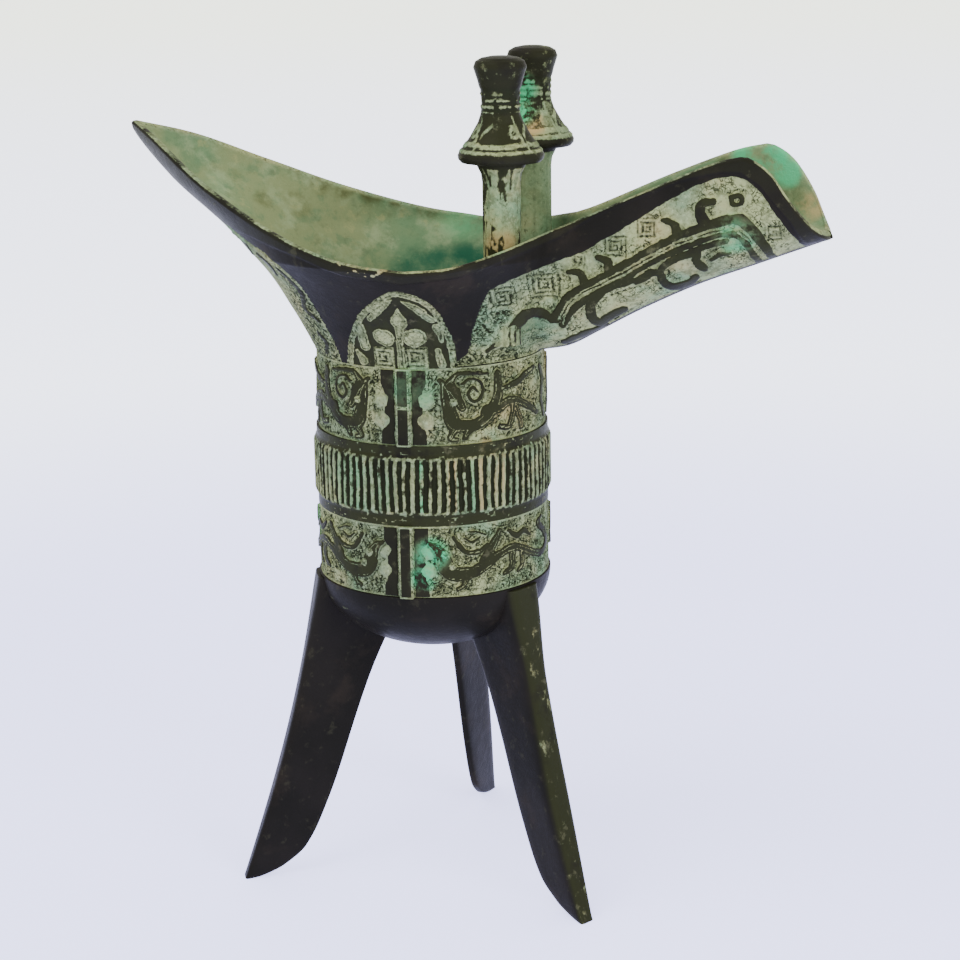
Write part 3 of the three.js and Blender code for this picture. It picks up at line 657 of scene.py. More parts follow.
SPOUT_PALE = [
    [[27.4, 5.6], [28.9, 8.6], [30.9, 10.4], [33.4, 10.4], [35.6, 8.4]],
    [[36.9, 10.2], [39.2, 14.2], [42.4, 17.2], [53.4, 23.3], [66.5, 30.6], [79.2, 34.9], [82.3, 34],
     [84.9, 31], [87.4, 26.6]],
    [[38, 9.2], [39.6, 13.2], [42.8, 16.2], [53.6, 22.3], [66.6, 29.7], [79.2, 33.9], [81.9, 33],
     [84.3, 30.4], [86.4, 26]],
    [[46.9, 11.4], [47.4, 15], [50.6, 17.8], [56, 19.6]],
]
PANEL_TOP = [
    [12.6, 0], [17.1, 4], [18.9, 10.3], [22.6, 18.6], [24.1, 20.5], [29.6, 23.1], [39.2, 26.3], [44.4, 28.6],
    [53.7, 34.3], [61.9, 39.5], [70.2, 44.4], [76, 46.7], [80.2, 47.3], [84, 46.1], [87.2, 43.2],
    [90.2, 38.8], [93.2, 34.2], [95.5, 30.6], [97.5, 27],
]
PANEL_SQUARES = [
    (34.7, 19.5, 3.4), (51.4, 29.1, 2.9), (59.4, 33.9, 2.6), (26, 17.4, 2.8), (42.4, 26, 1.8), (90, 33, 2.4),
]
PANEL_START, PANEL_END = 12.6, 98.5
LEAF_HALF = 14.4

# %% Strokes on the leaf and along the tail
LEAF_ARCH = [
    [-14.4, -0.5], [-12.7, 6.7], [-9.4, 12.5], [-5.9, 16.3], [-0.9, 19.9], [2.1, 21.2], [5.4, 20.9],
    [8.9, 19.4], [11.6, 16.2], [13.1, 11.3], [13.9, 7.5], [14.3, -0.5],
]
LEAF_PALE = [
    ([[-3.4, 15], [-0.4, 17.4], [1.6, 18.8]], [2.4, 1.8, 0.5]),
    ([[3.9, 18.4], [6, 17.2], [8.2, 15.3]], [0.5, 1.8, 2.4]),
    ([[2.6, 16.4], [2.3, 13.6], [2.1, 12.6]], [0.4, 3, 4.2]),
    ([[2.1, 12.6], [1.7, 10], [1.1, 5], [0.9, 0]], [3.6, 2.2, 1.8, 2]),
    ([[-3.4, 8.5], [-2.2, 8]], [4.2, 4.6]),
    ([[5.8, 8.5], [4.8, 8.1]], [4.6, 5]),
    ([[-8.6, 10.8], [-8.2, 5.6]], [2.4, 3]),
    ([[-5.4, 13.2], [-4.2, 14]], [1.6, 1.8]),
    ([[8.8, 14.2], [10, 13.2]], [2.2, 2]),
    ([[10.9, 11], [11.4, 7.2]], [2.4, 1]),
    ([[-10.8, 3.8], [-9.2, 1.4]], [1.2, 2.6]),
    ([[10.2, 4.8], [10.8, 1]], [1.6, 2.2]),
]
LEAF_SQUARES = [(-3.4, 2.7, 2.8), (4.9, 2.8, 2.9)]
TAIL_EDGE = [
    [-57, 38.5], [-52, 36], [-46, 33.6], [-39.4, 31.1], [-32.9, 29], [-28.7, 26.4], [-25.4, 23.2],
    [-23.2, 20.4], [-21.4, 16], [-19.7, 11], [-17.7, 5.8], [-15.9, 0],
]
TAIL_DARK = [
    ([[-30, 24.6], [-26.6, 21.4], [-24.4, 18], [-25, 13.4], [-21.2, 10.4]], [0.8, 1.6, 1.6, 1]),
    ([[-36, 27.4], [-33, 25.6], [-31.4, 22]], [0.8, 1.4, 0.8]),
    ([[-45, 31.4], [-41, 29.6], [-38.6, 26.6]], [0.8, 1.2, 0.8]),
    ([[-23, 7], [-20.6, 4.4], [-21.6, 1.4]], [1, 1.4, 1]),
]
LIP_EDGE = [
    [-60, 39.4], [-51.2, 34.4], [-36.2, 32.5], [-20.2, 29.1], [-9.4, 25.7], [5.1, 23.5], [18.6, 24.9],
    [26.9, 27.7], [37.9, 31.5], [47.9, 37.9], [57.7, 41.8], [67.5, 45.8], [77.2, 47.9], [82, 47.9],
    [86.7, 44.8], [94, 36.1], [97, 30],
]


def below_line(x, up, points):
    """How far a place lies under a line, measured upright."""
    places, heights = np.array(points, float).T
    return np.interp(x, places, heights) - up


def deepest(across, up, strokes):
    best = np.full(across.shape, FAR_OUT)
    for points, widths in strokes:
        best = np.maximum(best, inside_stroke(across, up, points, widths))
    return best


def squares(across, up, places):
    """Square spirals drawn one by one: where they lie, and their cut lines."""
    inside = np.full(across.shape, FAR_OUT)
    cut = np.zeros(across.shape)
    for x, z, half in places:
        u, v = across - x, up - z
        reach, quarter = square_winding(u, v)
        wave = np.abs((reach / 1.15 + quarter) % 1 - 0.5)
        cut = np.maximum(cut, smooth(0.3 - wave, 0, 0.14) * (reach < half))
        inside = np.maximum(inside, half - reach)
    return inside, cut


# %% Relief of the spout, the leaf and the tail
def spout_relief(x, up):
    keel = up - (spout_keel(np.maximum(x, NECK_RADIUS), 0) - NECK_Z)
    x, up = hand_drawn(x, up, 0.16)
    panel = smooth(below_line(x, up, PANEL_TOP), 0.1, 0.7) * smooth(x, PANEL_START, PANEL_START + 0.8)
    panel = panel * smooth(PANEL_END - x, 0, 0.8) * smooth(keel, 0.1, 0.5)
    bands = deepest(x, up, SPOUT_DARK) + 0.22
    thin = np.maximum.reduce([inside_stroke(x, up, points, [0.5, 0.5]) for points in SPOUT_PALE])
    dark = smooth(bands, -0.12, 0.22) * (1 - 0.8 * smooth(thin, -0.1, 0.12))
    inside, cut = squares(x, up, PANEL_SQUARES)
    ragged = 0.5 * noise_map(x / 2.2, up / 2.2, 5)
    ground = spiral_ground(x + 0.4 * up, up - 0.35 * x, 3.1, 0.9) * smooth(30 - x + 20 * ragged, 0, 9)
    line = np.where(inside > -0.4, cut, ground * smooth(-bands, 0.5, 0.9) * smooth(-inside, 0.4, 0.8))
    line = np.maximum(line, 0.9 * smooth(0.28 - np.abs(bands + 0.75), 0, 0.2) * smooth(ragged, -0.2, 0.3))
    pale = panel * (1 - dark)
    fill = {"ground": pale * smooth(ragged + 0.3 * smooth(40 - x, 0, 12), -0.25, 0.15)}
    return -0.6 * pale - 0.22 * line * panel, pale, line * pale, panel, fill


def leaf_relief(x, up):
    x, up = hand_drawn(x, up, 0.14)
    within = below_line(x, up, smooth_line(LEAF_ARCH)) * (np.abs(x) < LEAF_HALF)
    edge = inside_stroke(x, up, [[p * 0.95 + 0.1, q * 0.965] for p, q in LEAF_ARCH], [1.9, 1.9])
    twist = 0.6 + 0.4 * np.sign(np.sin(5 * x) + np.sin(5.5 * up))
    rope = smooth(0.3 - np.abs(edge - 0.62), 0, 0.14) * twist
    field = smooth(within, 0, 0.3)
    shapes = deepest(x, up, LEAF_PALE)
    inside, cut = squares(x, up, LEAF_SQUARES)
    pale = np.maximum(smooth(np.maximum(shapes, inside), -0.12, 0.2), 0.9 * smooth(edge, -0.1, 0.15)) * field
    rim = 0.8 * smooth(0.2 - np.abs(shapes - 0.55), 0, 0.14)
    stem = smooth(0.2 - np.abs(x - 1 - 0.08 * up), 0, 0.12) * smooth(9 - up, 0, 1)
    line = np.maximum.reduce([cut * (inside > 0), rope, stem, rim]) * field
    height = 0.35 * pale - 0.45 * field - 0.2 * line
    return height, 0.85 * pale, line * pale, field, {"ground": 0.5 * pale}


def tail_relief(x, up):
    x, up = hand_drawn(x, up, 0.16)
    field = smooth(below_line(x, up, TAIL_EDGE), 0.1, 0.7) * smooth(-x, 15.9, 16.6) * smooth(x, -58, -55)
    edge = np.abs(below_line(x, up, TAIL_EDGE) - 1.2)
    dark = smooth(deepest(x, up, TAIL_DARK), -0.1, 0.2)
    ground = spiral_ground(x - 0.5 * up, up + 0.4 * x, 3.2, 1.0)
    ground = ground * smooth(edge, 0.9, 1.4) * smooth(x, -34, -24)
    pale = field * (1 - dark) * (0.62 + 0.38 * smooth(0.5 - edge, 0, 0.3))
    height = field * (-0.5 + 0.35 * smooth(0.6 - edge, 0, 0.3) + 0.3 * dark - 0.15 * ground)
    fill = {"ground": field * (1 - dark) * smooth(x, -40, -26)}
    return height, pale, ground * field * 0.8 * (1 - dark), field, fill


def shape_hull(points, mesh):
    outside = np.empty(len(points))
    mesh.attributes["outside"].data.foreach_get("value", outside)
    x, y, z = points.T
    side = np.where(y > 0, 1.0, -1.0)
    step = 0.4
    slope_x = (half_breadth(x + step, z, 0) - half_breadth(x - step, z, 0)) / (2 * step)
    slope_z = (half_breadth(x, z + step, 0) - half_breadth(x, z - step, 0)) / (2 * step)
    out = np.stack([-slope_x, side, -slope_z], -1)
    out /= np.linalg.norm(out, axis=1)[:, None]
    up = z - NECK_Z
    made = [relief(x, up) for relief in (spout_relief, leaf_relief, tail_relief)]
    height, pale, line = [sum(parts) for parts in list(zip(*made))[:3]]
    ground = sum(part[4]["ground"] for part in made)
    lip = below_line(x, up, LIP_EDGE)
    calm = 1 - np.clip(sum(part[3] for part in made), 0, 1)
    height = height - 0.3 * smooth(lip, 0, 0.5) * calm
    seam = smooth(0.35 - np.abs(lip - 0.3), 0, 0.3) * smooth(40 - x, 0, 10)
    worn = 0.5 + 0.5 * noise_map(x / 4, up / 4, 6)
    pale = pale + 0.34 * seam * calm * worn
    below_rim = rim_height(x, side) - z
    crumbs = smooth(3.2 - below_rim, 0, 1.2) * smooth(8.5 - np.abs(x + 4), 0, 4) * (outside > 0.4)
    crumbs = crumbs * smooth(noise_map(x / 0.7, up / 0.5, 7) + 0.4 * noise_map(x / 4, up / 2, 19), 0.1, 0.6)
    # A pale band along the top of the rim is a painted highlight, broken up by noise on the near side.
    edge = smooth(0.8 - below_rim, 0, 0.5) * np.where(side > 0, 0.62, 0.3 + 0.4 * worn) * (outside > 0.05)
    skin = (outside > 0.99) * smooth(np.abs(y), 0.3, 1.6)
    moved = points + out * (height * skin)[:, None]
    inner = smooth(1 - outside, 0.7, 1)
    pale = np.where(outside > 0.99, pale * smooth(np.abs(y), 0, 0.5), inner)
    pale = np.maximum.reduce([pale, 0.62 * crumbs, edge])
    brown = np.maximum(0.25 * smooth(-lip, -0.2, 0.4) * calm, 0.9 * (1 - calm)) * (1 - inner)
    known = {"pale": pale, "line": line * skin, "inside": inner, "ground": ground * skin, "olive": brown}
    return moved, known | {"warm": 0.5 * crumbs}


# %% Both halves
for name, side in (("hull_near", -1), ("hull_far", 1)):
    make_piece(name, hull_half(side), BRONZE, shape_hull)

# %% [markdown]
# ## The round body
# The body is turned: a closed outline is spun about the axis. A plain sleeve carries the belly and the
# inside wall, and two relief bands and the ribbed band are rings around it, each with a fine skin.

# %% Spinning an outline
def spun(outline, steps, x=0.0, y=0.0, closed=True):
    """A bmesh from an outline of (radius, z) pairs, turned all the way round an upright axis."""
    bm = bmesh.new()
    verts = [bm.verts.new((x + r, y, z)) for r, z in outline]
    pairs = list(zip(verts, verts[1:])) + ([(verts[-1], verts[0])] if closed else [])
    edges = [bm.edges.new(pair) for pair in pairs]
    bmesh.ops.spin(
        bm, geom=verts + edges, cent=(x, y, 0), axis=(0, 0, 1), angle=2 * math.pi, steps=steps, use_merge=True
    )
    return bm


SLEEVE = 1.3  # thickness of the sleeve that the relief bands sit on
# Points along the crease between the bottom and the tail-side leg, where a painted highlight runs.
CREASE_HIGHLIGHT = [
    (-25.5, -16, 81), (-23.5, -18.1, 79.9), (-16.4, -23.6, 78), (-11.1, -23.6, 74.3), (-8.2, -20.2, 70.7),
]


def plain(points, mesh):
    return points, {"pale": np.zeros(len(points)), "line": np.zeros(len(points))}


def near_crease_highlight(points):
    """1 along a painted highlight on the crease between the bottom and the tail-side leg, 0 away from it."""
    gap = np.full(len(points), -FAR_OUT)
    places = np.array(CREASE_HIGHLIGHT)
    for start, end in zip(places, places[1:]):
        along = end - start
        t = np.clip((points - start) @ along / (along @ along), 0, 1)
        gap = np.minimum(gap, np.linalg.norm(points - start - t[:, None] * along, axis=1))
    return smooth(0.9 - gap, 0, 0.5)


# %% Belly and inside wall
def sleeve_outline():
    outer = BODY_RADIUS - SLEEVE + 0.2
    inner = BODY_RADIUS - WALL
    quarter = np.linspace(0, np.pi / 2, 26)
    belly = [(BODY_RADIUS * np.sin(a), LEG_LENGTH - BELLY_DROP * np.cos(a)) for a in quarter]
    floor = [(inner * np.sin(a), LEG_LENGTH - (BELLY_DROP - 1.2 * WALL) * np.cos(a)) for a in quarter]
    top = [(outer, LEG_LENGTH + 0.4), (outer - 0.6, NECK_Z - 0.05), (NECK_RADIUS - WALL, NECK_Z - 0.05)]
    wall = [(inner, z) for z in np.linspace(RIB_TOP, LEG_LENGTH + 2, 8)]
    return belly + top + wall + floor[::-1]


def shape_sleeve(points, mesh):
    radius = np.hypot(points[:, 0], points[:, 1])
    height = points[:, 2]
    floor_z = LEG_LENGTH - np.sqrt(np.maximum(0, 1 - (radius / BODY_RADIUS) ** 2)) * (BELLY_DROP - 0.5 * WALL)
    inside = (radius < BODY_RADIUS - 0.8 * WALL) & (height > floor_z)
    # A painted highlight along the crease above the tail-side leg makes the belly paler there.
    pale = np.maximum(inside, 0.4 * near_crease_highlight(points))
    return points, {"pale": pale, "line": 0 * radius, "inside": inside * 1.0}


make_piece("belly", spun(sleeve_outline(), 160, closed=False), BRONZE, shape_sleeve)

# %% [markdown]
# ## The relief bands
# Each band holds four dragons in profile, two and two facing a flange. They are drawn once, in degrees from
# the flange and millimetres above the band's edge, and folded round the body.

# %% Strokes of the dragons
UPPER_DRAGON = [
    ([[19.4, 15.6], [21.4, 11.3], [22.6, 7.5], [24.6, 5.4], [29.5, 4.9], [37.9, 5.4], [43.6, 8.1],
      [47.4, 11.7], [47.4, 17]], [1.4, 3.2, 3.8, 3.2, 2.6, 3.2, 3, 2.2]),
    ([[41, 7.8], [48.5, 8.6], [55.3, 9.6], [64.2, 8.3], [77.1, 4.6]], [3.4, 2.6, 2.2, 1.2]),
    ([[17.6, 16.8], [21, 15.4], [25.7, 17.9], [33, 18.2], [41.5, 17.6]], [1, 1.6, 1, 0.8, 0.5]),
    ([[22.6, 15], [25.6, 12.8], [28.6, 9.4]], [3, 2.6, 1.8]),
    ([[28.6, 15.6], [32.5, 16.6], [37, 16], [39.4, 13.8], [37.6, 11.6], [34, 11], [31.6, 12.8], [33.8, 14.4],
      [36.2, 13.4]], [0.5, 0.6, 0.5]),
    ([[35.6, 4.6], [31.8, 3.8], [29.4, 1.6]], [2.2, 1.9, 1]),
    ([[24.4, 4], [22.4, 2], [26, 1.4]], [1.6, 1.4, 1]),
    ([[57.4, 8.6], [55.9, 5.2], [53.6, 3.2], [48.6, 3.5]], [2, 1.8, 1.3]),
    ([[58.6, 7.8], [61.4, 5], [62.4, 2.6]], [2, 1.9]),
    ([[48.6, 13.2], [58.6, 13.9], [66, 15.4], [74, 16.6]], [1.2, 1.6, 1.6, 0.9]),
    ([[80, 16.4], [84, 12.6], [82, 8], [86, 3.4]], [1.2, 1.8, 1.4]),
]
LOWER_DRAGON = [
    ([[11.6, 14.4], [14.4, 13.6], [17.1, 11.6], [18.9, 8.6], [21.4, 6.6], [28, 6.1], [36.8, 7.2], [45.5, 9.8],
      [56.3, 10.8], [69.5, 7.8], [79.4, 6.8], [84.4, 9.5], [80, 12.8], [74.3, 14.9], [77.8, 16.6]],
     [1, 2.4, 4.4, 4, 3.2, 2.6, 2.4, 2.2, 2, 1.8, 1.2]),
    ([[22.6, 16], [25.8, 13.2], [30.3, 11.5], [35.8, 11.7], [39.7, 13.2]], [0.8, 1.4, 1.4, 1]),
    ([[28, 15.6], [32, 14.2], [36, 15.2]], [0.5, 0.8, 0.5]),
    ([[31, 17], [35, 16.7], [39, 15.7]], [0.5, 0.6, 0.5]),
    ([[46.5, 16.4], [42.6, 12.8], [38.4, 9]], [1.4, 2.6, 3.4]),
    ([[54.2, 9.4], [53.3, 6], [49.1, 4.6]], [2.4, 2.1, 1.4]),
    ([[60.4, 9], [60.8, 6], [57.6, 4.4]], [2, 1.8, 1.2]),
    ([[28.4, 5.4], [27.4, 3.2], [24.4, 2.2]], [2, 1.4]),
    ([[52, 15.6], [57, 13.8], [62, 14.6], [67, 13]], [1.1, 1.8, 1.6, 0.9]),
]
UPPER_BAND = {
    "strokes": UPPER_DRAGON,
    "eyes": [(24.3, 11)],
    "bulbs": [(5.7, 11.6, 1.8), (5.5, 6.4, 1.9)],
    "bar": 9.9,
    "growth": 0.2,
}
LOWER_BAND = {
    "strokes": LOWER_DRAGON,
    "eyes": [(22, 8.4), (18.8, 11.3)],
    "bulbs": [(5.7, 12.2, 1.7), (5.6, 7.2, 1.7)],
    "bar": None,
    "growth": 0.05,
}
FLANGE_HALF = 1.8
FLANGE_RISE = 1.1
FLANGE_STRIP = 5.9


# %% Relief of one band
def band_relief(angle, up, height, radius, band):
    per_degree = math.pi * radius / 180
    fold = np.abs((angle - FLANGE_TURN + 90 + 180) % 360 - 180)
    true_across = np.minimum(fold, 180 - fold) * per_degree
    across, above = hand_drawn(true_across, up, 0.2)
    flat = [([[a * per_degree, b] for a, b in points], widths) for points, widths in band["strokes"]]
    bands = deepest(across, above, flat) + band["growth"]
    eye = np.maximum.reduce([inside_dot(across, above, a * per_degree, b, 0.85) for a, b in band["eyes"]])
    edge = np.minimum(up, height - up)
    waist = 0.9 * smooth(np.abs(up / height - 0.5), 0.2, 0.33)
    strip = np.minimum(across - FLANGE_HALF - 0.45, FLANGE_STRIP - 0.9 + waist - across)
    strip = np.minimum(strip, edge - 0.35)
    bulbs = np.maximum.reduce([inside_dot(across, above, *bulb) for bulb in band["bulbs"]])
    strip = np.minimum(strip, -bulbs)
    core = FLANGE_HALF - true_across
    top = smooth(core, 0.42, 0.6) * smooth(edge, 0.3, 0.6)
    if band["bar"]:
        top = top * (1 - smooth(0.5 - np.abs(up - band["bar"]), 0, 0.2))
    worn = noise_map(true_across / 3, up / 3, 8)
    contour = smooth(0.17 - np.abs(bands - 0.72), 0, 0.14) * 0.75 * smooth(worn, -0.6, 0.1)
    body = smooth(bands, -0.12, 0.2)
    dark = np.maximum(body * (1 - contour), smooth(strip, -0.12, 0.15))
    dark = np.where(eye > -0.15, 0.1, np.maximum(dark, top))
    cut = spiral_ground(across - 0.35 * above, above + 0.2 * across, 2.7, 0.78) * smooth(worn, -0.5, 0)
    small = np.maximum.reduce([np.abs(inside_dot(across, above, *bulb) + 0.5) for bulb in band["bulbs"]])
    line = cut * smooth(-bands, 0.35, 0.65) * smooth(-strip, 0.5, 0.8)
    line = line * smooth(edge, 0.4, 0.7) * (core < -0.3)
    outline = 0.8 * smooth(0.24 - np.abs(bands + 0.32), 0, 0.16) * (strip < -0.4) * smooth(-worn, -0.5, 0)
    line = np.maximum.reduce([line * (bulbs < -0.4), smooth(0.18 - small, 0, 0.1) * 0.7, outline])
    rise = 0.62 * body * (1 - 0.3 * contour) + 0.4 * smooth(strip, -0.1, 0.2)
    rise = rise + 0.35 * smooth(bulbs, -0.2, 0.6) + 0.3 * smooth(eye, -0.1, 0.6)
    rise = np.where(core > -0.15, FLANGE_RISE * smooth(core, -0.15, 0.15), rise)
    known = {"olive": 0.35 + 0.6 * body, "ground": (1 - dark) * (bulbs < -0.5) * smooth(edge, 0.3, 0.6)}
    return rise - 0.24 * line, np.clip(1 - dark, 0, 1), line * 0.9 * (1 - dark), known


SKIN = 0.5  # how far a band's plain ground lies below its outer radius


def band_ring(base, height, outer, steps=768, spacing=0.25):
    rows = int(height / spacing)
    skin = [(outer - SKIN, z) for z in np.linspace(base, base + height, rows + 1)]
    inner = BODY_RADIUS - SLEEVE - 0.4
    back = [(inner, base + height), (inner, base)]
    return spun(skin + back, steps)


def shape_band(base, outer, relief):
    def shape(points, mesh):
        x, y, z = points.T
        radius = np.hypot(x, y)
        rise, pale, line, known = relief(np.degrees(np.arctan2(y, x)), z - base)
        skin = radius > outer - SKIN - 0.1
        new = np.where(skin, outer - SKIN + rise, radius)
        known = {key: value * skin for key, value in (known | {"pale": pale, "line": line}).items()}
        return np.stack([x / radius * new, y / radius * new, z], -1), known

    return shape


# %% Upper and lower bands
for name, base, height, outer, band in (
    ("upper_band", UPPER_BOTTOM, UPPER_REGISTER, NECK_RADIUS, UPPER_BAND),
    ("lower_band", LEG_LENGTH, LOWER_REGISTER, BODY_RADIUS, LOWER_BAND),
):
    draw = lambda angle, up, h=height, r=outer, b=band: band_relief(angle, up, h, r, b)
    make_piece(name, band_ring(base, height, outer), BRONZE, shape_band(base, outer, draw))

# %% [markdown]
# ## The ribbed band
# Between the dragons runs a band of upright ribs between two smooth rings. The ribs are pale and rounded
# with dark slots, and a plain groove lies above and below.

# %% Ribs
RIB_COUNT = 88
RIB_DEPTH = 0.8
RIB_GROWTH = 0.25  # the ribs stand out this much past the smooth rings
RIB_TINTS = {
    "warm": [
        (-65.3, 1.7, 0.8), (-51, 1.6, 0.6), (-40.5, 2, 0.7), (-44.5, 1.6, 0.4), (40, 12, 0.6), (150, 9, 0.5),
    ],
    "green": [(-80, 1.7, 0.7), (-56, 2, 0.25), (-97, 4, 0.15), (-118, 8, 0.2), (90, 14, 0.5)],
}


def rib_relief(angle, up):
    height = RIB_BAND + 2 * GROOVE
    edge = np.minimum(up, height - up)
    along = math.pi * BODY_RADIUS * angle / 180
    turns = angle / 360 * RIB_COUNT + 0.06 * np.sin(np.radians(angle) * 9 + 0.3 * up)
    turns = turns + 0.06 * noise_map(along / 1.6, up / 1.2, 9)
    phase = turns % 1
    each = np.sin(np.floor(turns) * 12.9898) * 43.7
    shade = each - np.floor(each)
    tooth = smooth(0.34 - np.abs(phase - 0.5) + 0.07 * (shade - 0.5), -0.03, 0.2)
    ribs = smooth(edge + 0.2 * noise_map(along, up, 10), GROOVE + 0.6, GROOVE + 1.0)
    border = smooth(edge, GROOVE - 0.1, GROOVE + 0.35) * (1 - ribs)
    crumbs = smooth(noise_map(along / 0.9, up / 0.5, 11), 0.45, 0.8) * (1 - ribs) * (1 - border)
    rise = SKIN - GROOVE_DEPTH + RIB_GROWTH + RIB_DEPTH * ribs * tooth + (0.7 - RIB_GROWTH) * border
    worn = noise_map(along / 0.7, up / 1.1, 12) + 0.6 * noise_map(along / 0.4, up / 0.45, 13)
    pale = ribs * tooth * (0.5 + 0.3 * shade + 0.22 * worn) + border * (0.55 + 0.2 * worn) + 0.5 * crumbs
    known = {"olive": 0.95 - 0.2 * ribs}
    for key, places in RIB_TINTS.items():
        soft = [
            amount * smooth(1.4 * half - np.abs(angle - turn), 0, 0.8 * half) for turn, half, amount in places
        ]
        known[key] = np.maximum.reduce(soft) * ribs * tooth
    return rise, np.clip(pale, 0, 1), 0.7 * ribs * (1 - tooth), known


RIB_RING = (LOWER_TOP, RIB_BAND + 2 * GROOVE, BODY_RADIUS)
rib_bm = band_ring(*RIB_RING, steps=RIB_COUNT * 12, spacing=0.5)
make_piece("rib_band", rib_bm, BRONZE, shape_band(LOWER_TOP, BODY_RADIUS, rib_relief))

# %% [markdown]
# ## Legs
# Each leg is a blade, deep from front to back, with a narrow flat outer face and a rounded tip. It is a tube
# of rounded sections bent down its own line.

# %% Sections of a leg
LEG_PLACES = {  # turn of the foot, foot radius, turn of the root, share of olive on its outer face
    "leg_back": (90, 52.7, 90, 0.5),
    "leg_tail_side": (205, 53.9, 204, 0.0),
    "leg_spout_side": (327.5, 56.3, 333, 0.9),
}
LEG_FACE_TOP = 7
LEG_FACE = 4.3
FOOT_FACE = 2.4
LEG_BOW = 2.2
LEG_DEPTH = curve_through(
    [[0, 4.4], [0.8, 6.6], [2.5, 9.8], [7.5, 14.2], [20, 16.3], [45, 17.8], [60, 20], [84.5, 27]]
)
LEG_CURLS = (66, 53, 43)  # heights of the worn curls on a leg's outer face
LEG_CURL = ((-1.6, 0), (0, 2.6), (1.6, 1.2), (0.6, -0.8), (-0.2, 0.6))


def leg_turn(z, foot_turn, root_turn):
    return np.radians(mix(root_turn, foot_turn, 1 - z / LEG_LENGTH))


def leg_face(z, foot_radius):
    """How far out the outer face lies, and half its width."""
    share = 1 - z / LEG_LENGTH
    out = mix(BODY_RADIUS + 0.8, foot_radius, share) - LEG_BOW * np.sin(np.pi * share)
    half = mix(LEG_FACE_TOP, LEG_FACE, smooth(share, 0, 0.3))
    return out, mix(half, FOOT_FACE, np.clip((share - 0.6) / 0.4, 0, 1) ** 1.5)


def rounded_box(turn, power):
    """A square with soft corners, a half wide, as its two coordinates for each angle."""
    c, s = np.cos(turn), np.sin(turn)
    box = (np.abs(c) ** power + np.abs(s) ** power) ** (-1 / power)
    return c * box, s * box


def leg_points(around, z, foot_turn, foot_radius, root_turn):
    outer, face = leg_face(z, foot_radius)
    depth = LEG_DEPTH(z)
    back = np.minimum(1.1, face * 0.45)
    deep, wide = rounded_box(2 * np.pi * around, 5)
    deep = (1 + deep) / 2
    radial = outer - depth * (1 - deep)
    across = wide * mix(back, face, deep ** 1.05)
    a = leg_turn(z, foot_turn, root_turn)
    x = radial * np.cos(a) - across * np.sin(a)
    y = radial * np.sin(a) + across * np.cos(a)
    return np.stack([x, y, z], -1)


def tube(around, rows, bend):
    """A grid rolled up into a closed tube. bend(turns, shares) gives the places of its points."""
    bm = bmesh.new()
    made = bmesh.ops.create_grid(bm, x_segments=around, y_segments=rows, size=0.5)["verts"]
    flat = np.array([v.co[:2] for v in made]) + 0.5
    for vert, point in zip(made, bend(*flat.T)):
        vert.co = point
    bmesh.ops.remove_doubles(bm, verts=bm.verts, dist=WELD)
    bmesh.ops.holes_fill(bm, edges=[e for e in bm.edges if e.is_boundary], sides=0)
    return bm


def leg_mesh(foot_turn, foot_radius, root_turn):
    def bend(turns, shares):
        z = (LEG_LENGTH - 0.5) * shares**1.35
        return leg_points(turns, z, foot_turn, foot_radius, root_turn)

    return tube(56, 110, bend)


def shape_leg(foot_turn, foot_radius, root_turn, share_of_olive):
    def shape(points, mesh):
        x, y, z = points.T
        a = leg_turn(z, foot_turn, root_turn)
        across = -x * np.sin(a) + y * np.cos(a)
        out = x * np.cos(a) + y * np.sin(a)
        face_at, half = leg_face(z, foot_radius)
        outer_face = smooth(out - face_at, -1.6, -0.3)
        strokes = [([[u, base + v] for u, v in LEG_CURL], [0.35, 0.6, 0.3]) for base in LEG_CURLS]
        curls = deepest(across, z, strokes)
        # Pale lines along both edges of the outer face: on the olive faces they are partly wear and partly
        # painted highlight.
        rim_line = smooth(0.4 - np.abs(np.abs(across) - half + 0.7), 0, 0.25)
        spots = smooth(noise_map(across / 1.2, z / 2.5, 14), 0.1, 0.7)
        pale = np.maximum.reduce([0.36 * rim_line, 0.5 * smooth(curls, -0.05, 0.2), 0.42 * spots])
        pale = outer_face * pale * share_of_olive
        # On the dark faces the pale lines along the face's edges are a painted highlight.
        edge = 0.3 * smooth(0.5 - np.abs(np.abs(across) - half + 0.3), 0, 0.4)
        edge = edge * outer_face * (1 - share_of_olive)
        known = {"pale": np.maximum(pale, edge), "line": 0 * x, "olive": outer_face * share_of_olive}
        return points, known | {"warm": 0.5 * pale}

    return shape


for name, (foot_turn, foot_radius, root_turn, share_of_olive) in LEG_PLACES.items():
    bm = leg_mesh(foot_turn, foot_radius, root_turn)
    make_piece(name, bm, BRONZE, shape_leg(foot_turn, foot_radius, root_turn, share_of_olive))

# %% [markdown]
# ## Posts
# Two posts stand where the spout leaves the bowl. Each has a round shaft, a flared skirt like a lamp shade,
# a waist and a cap like a mushroom.

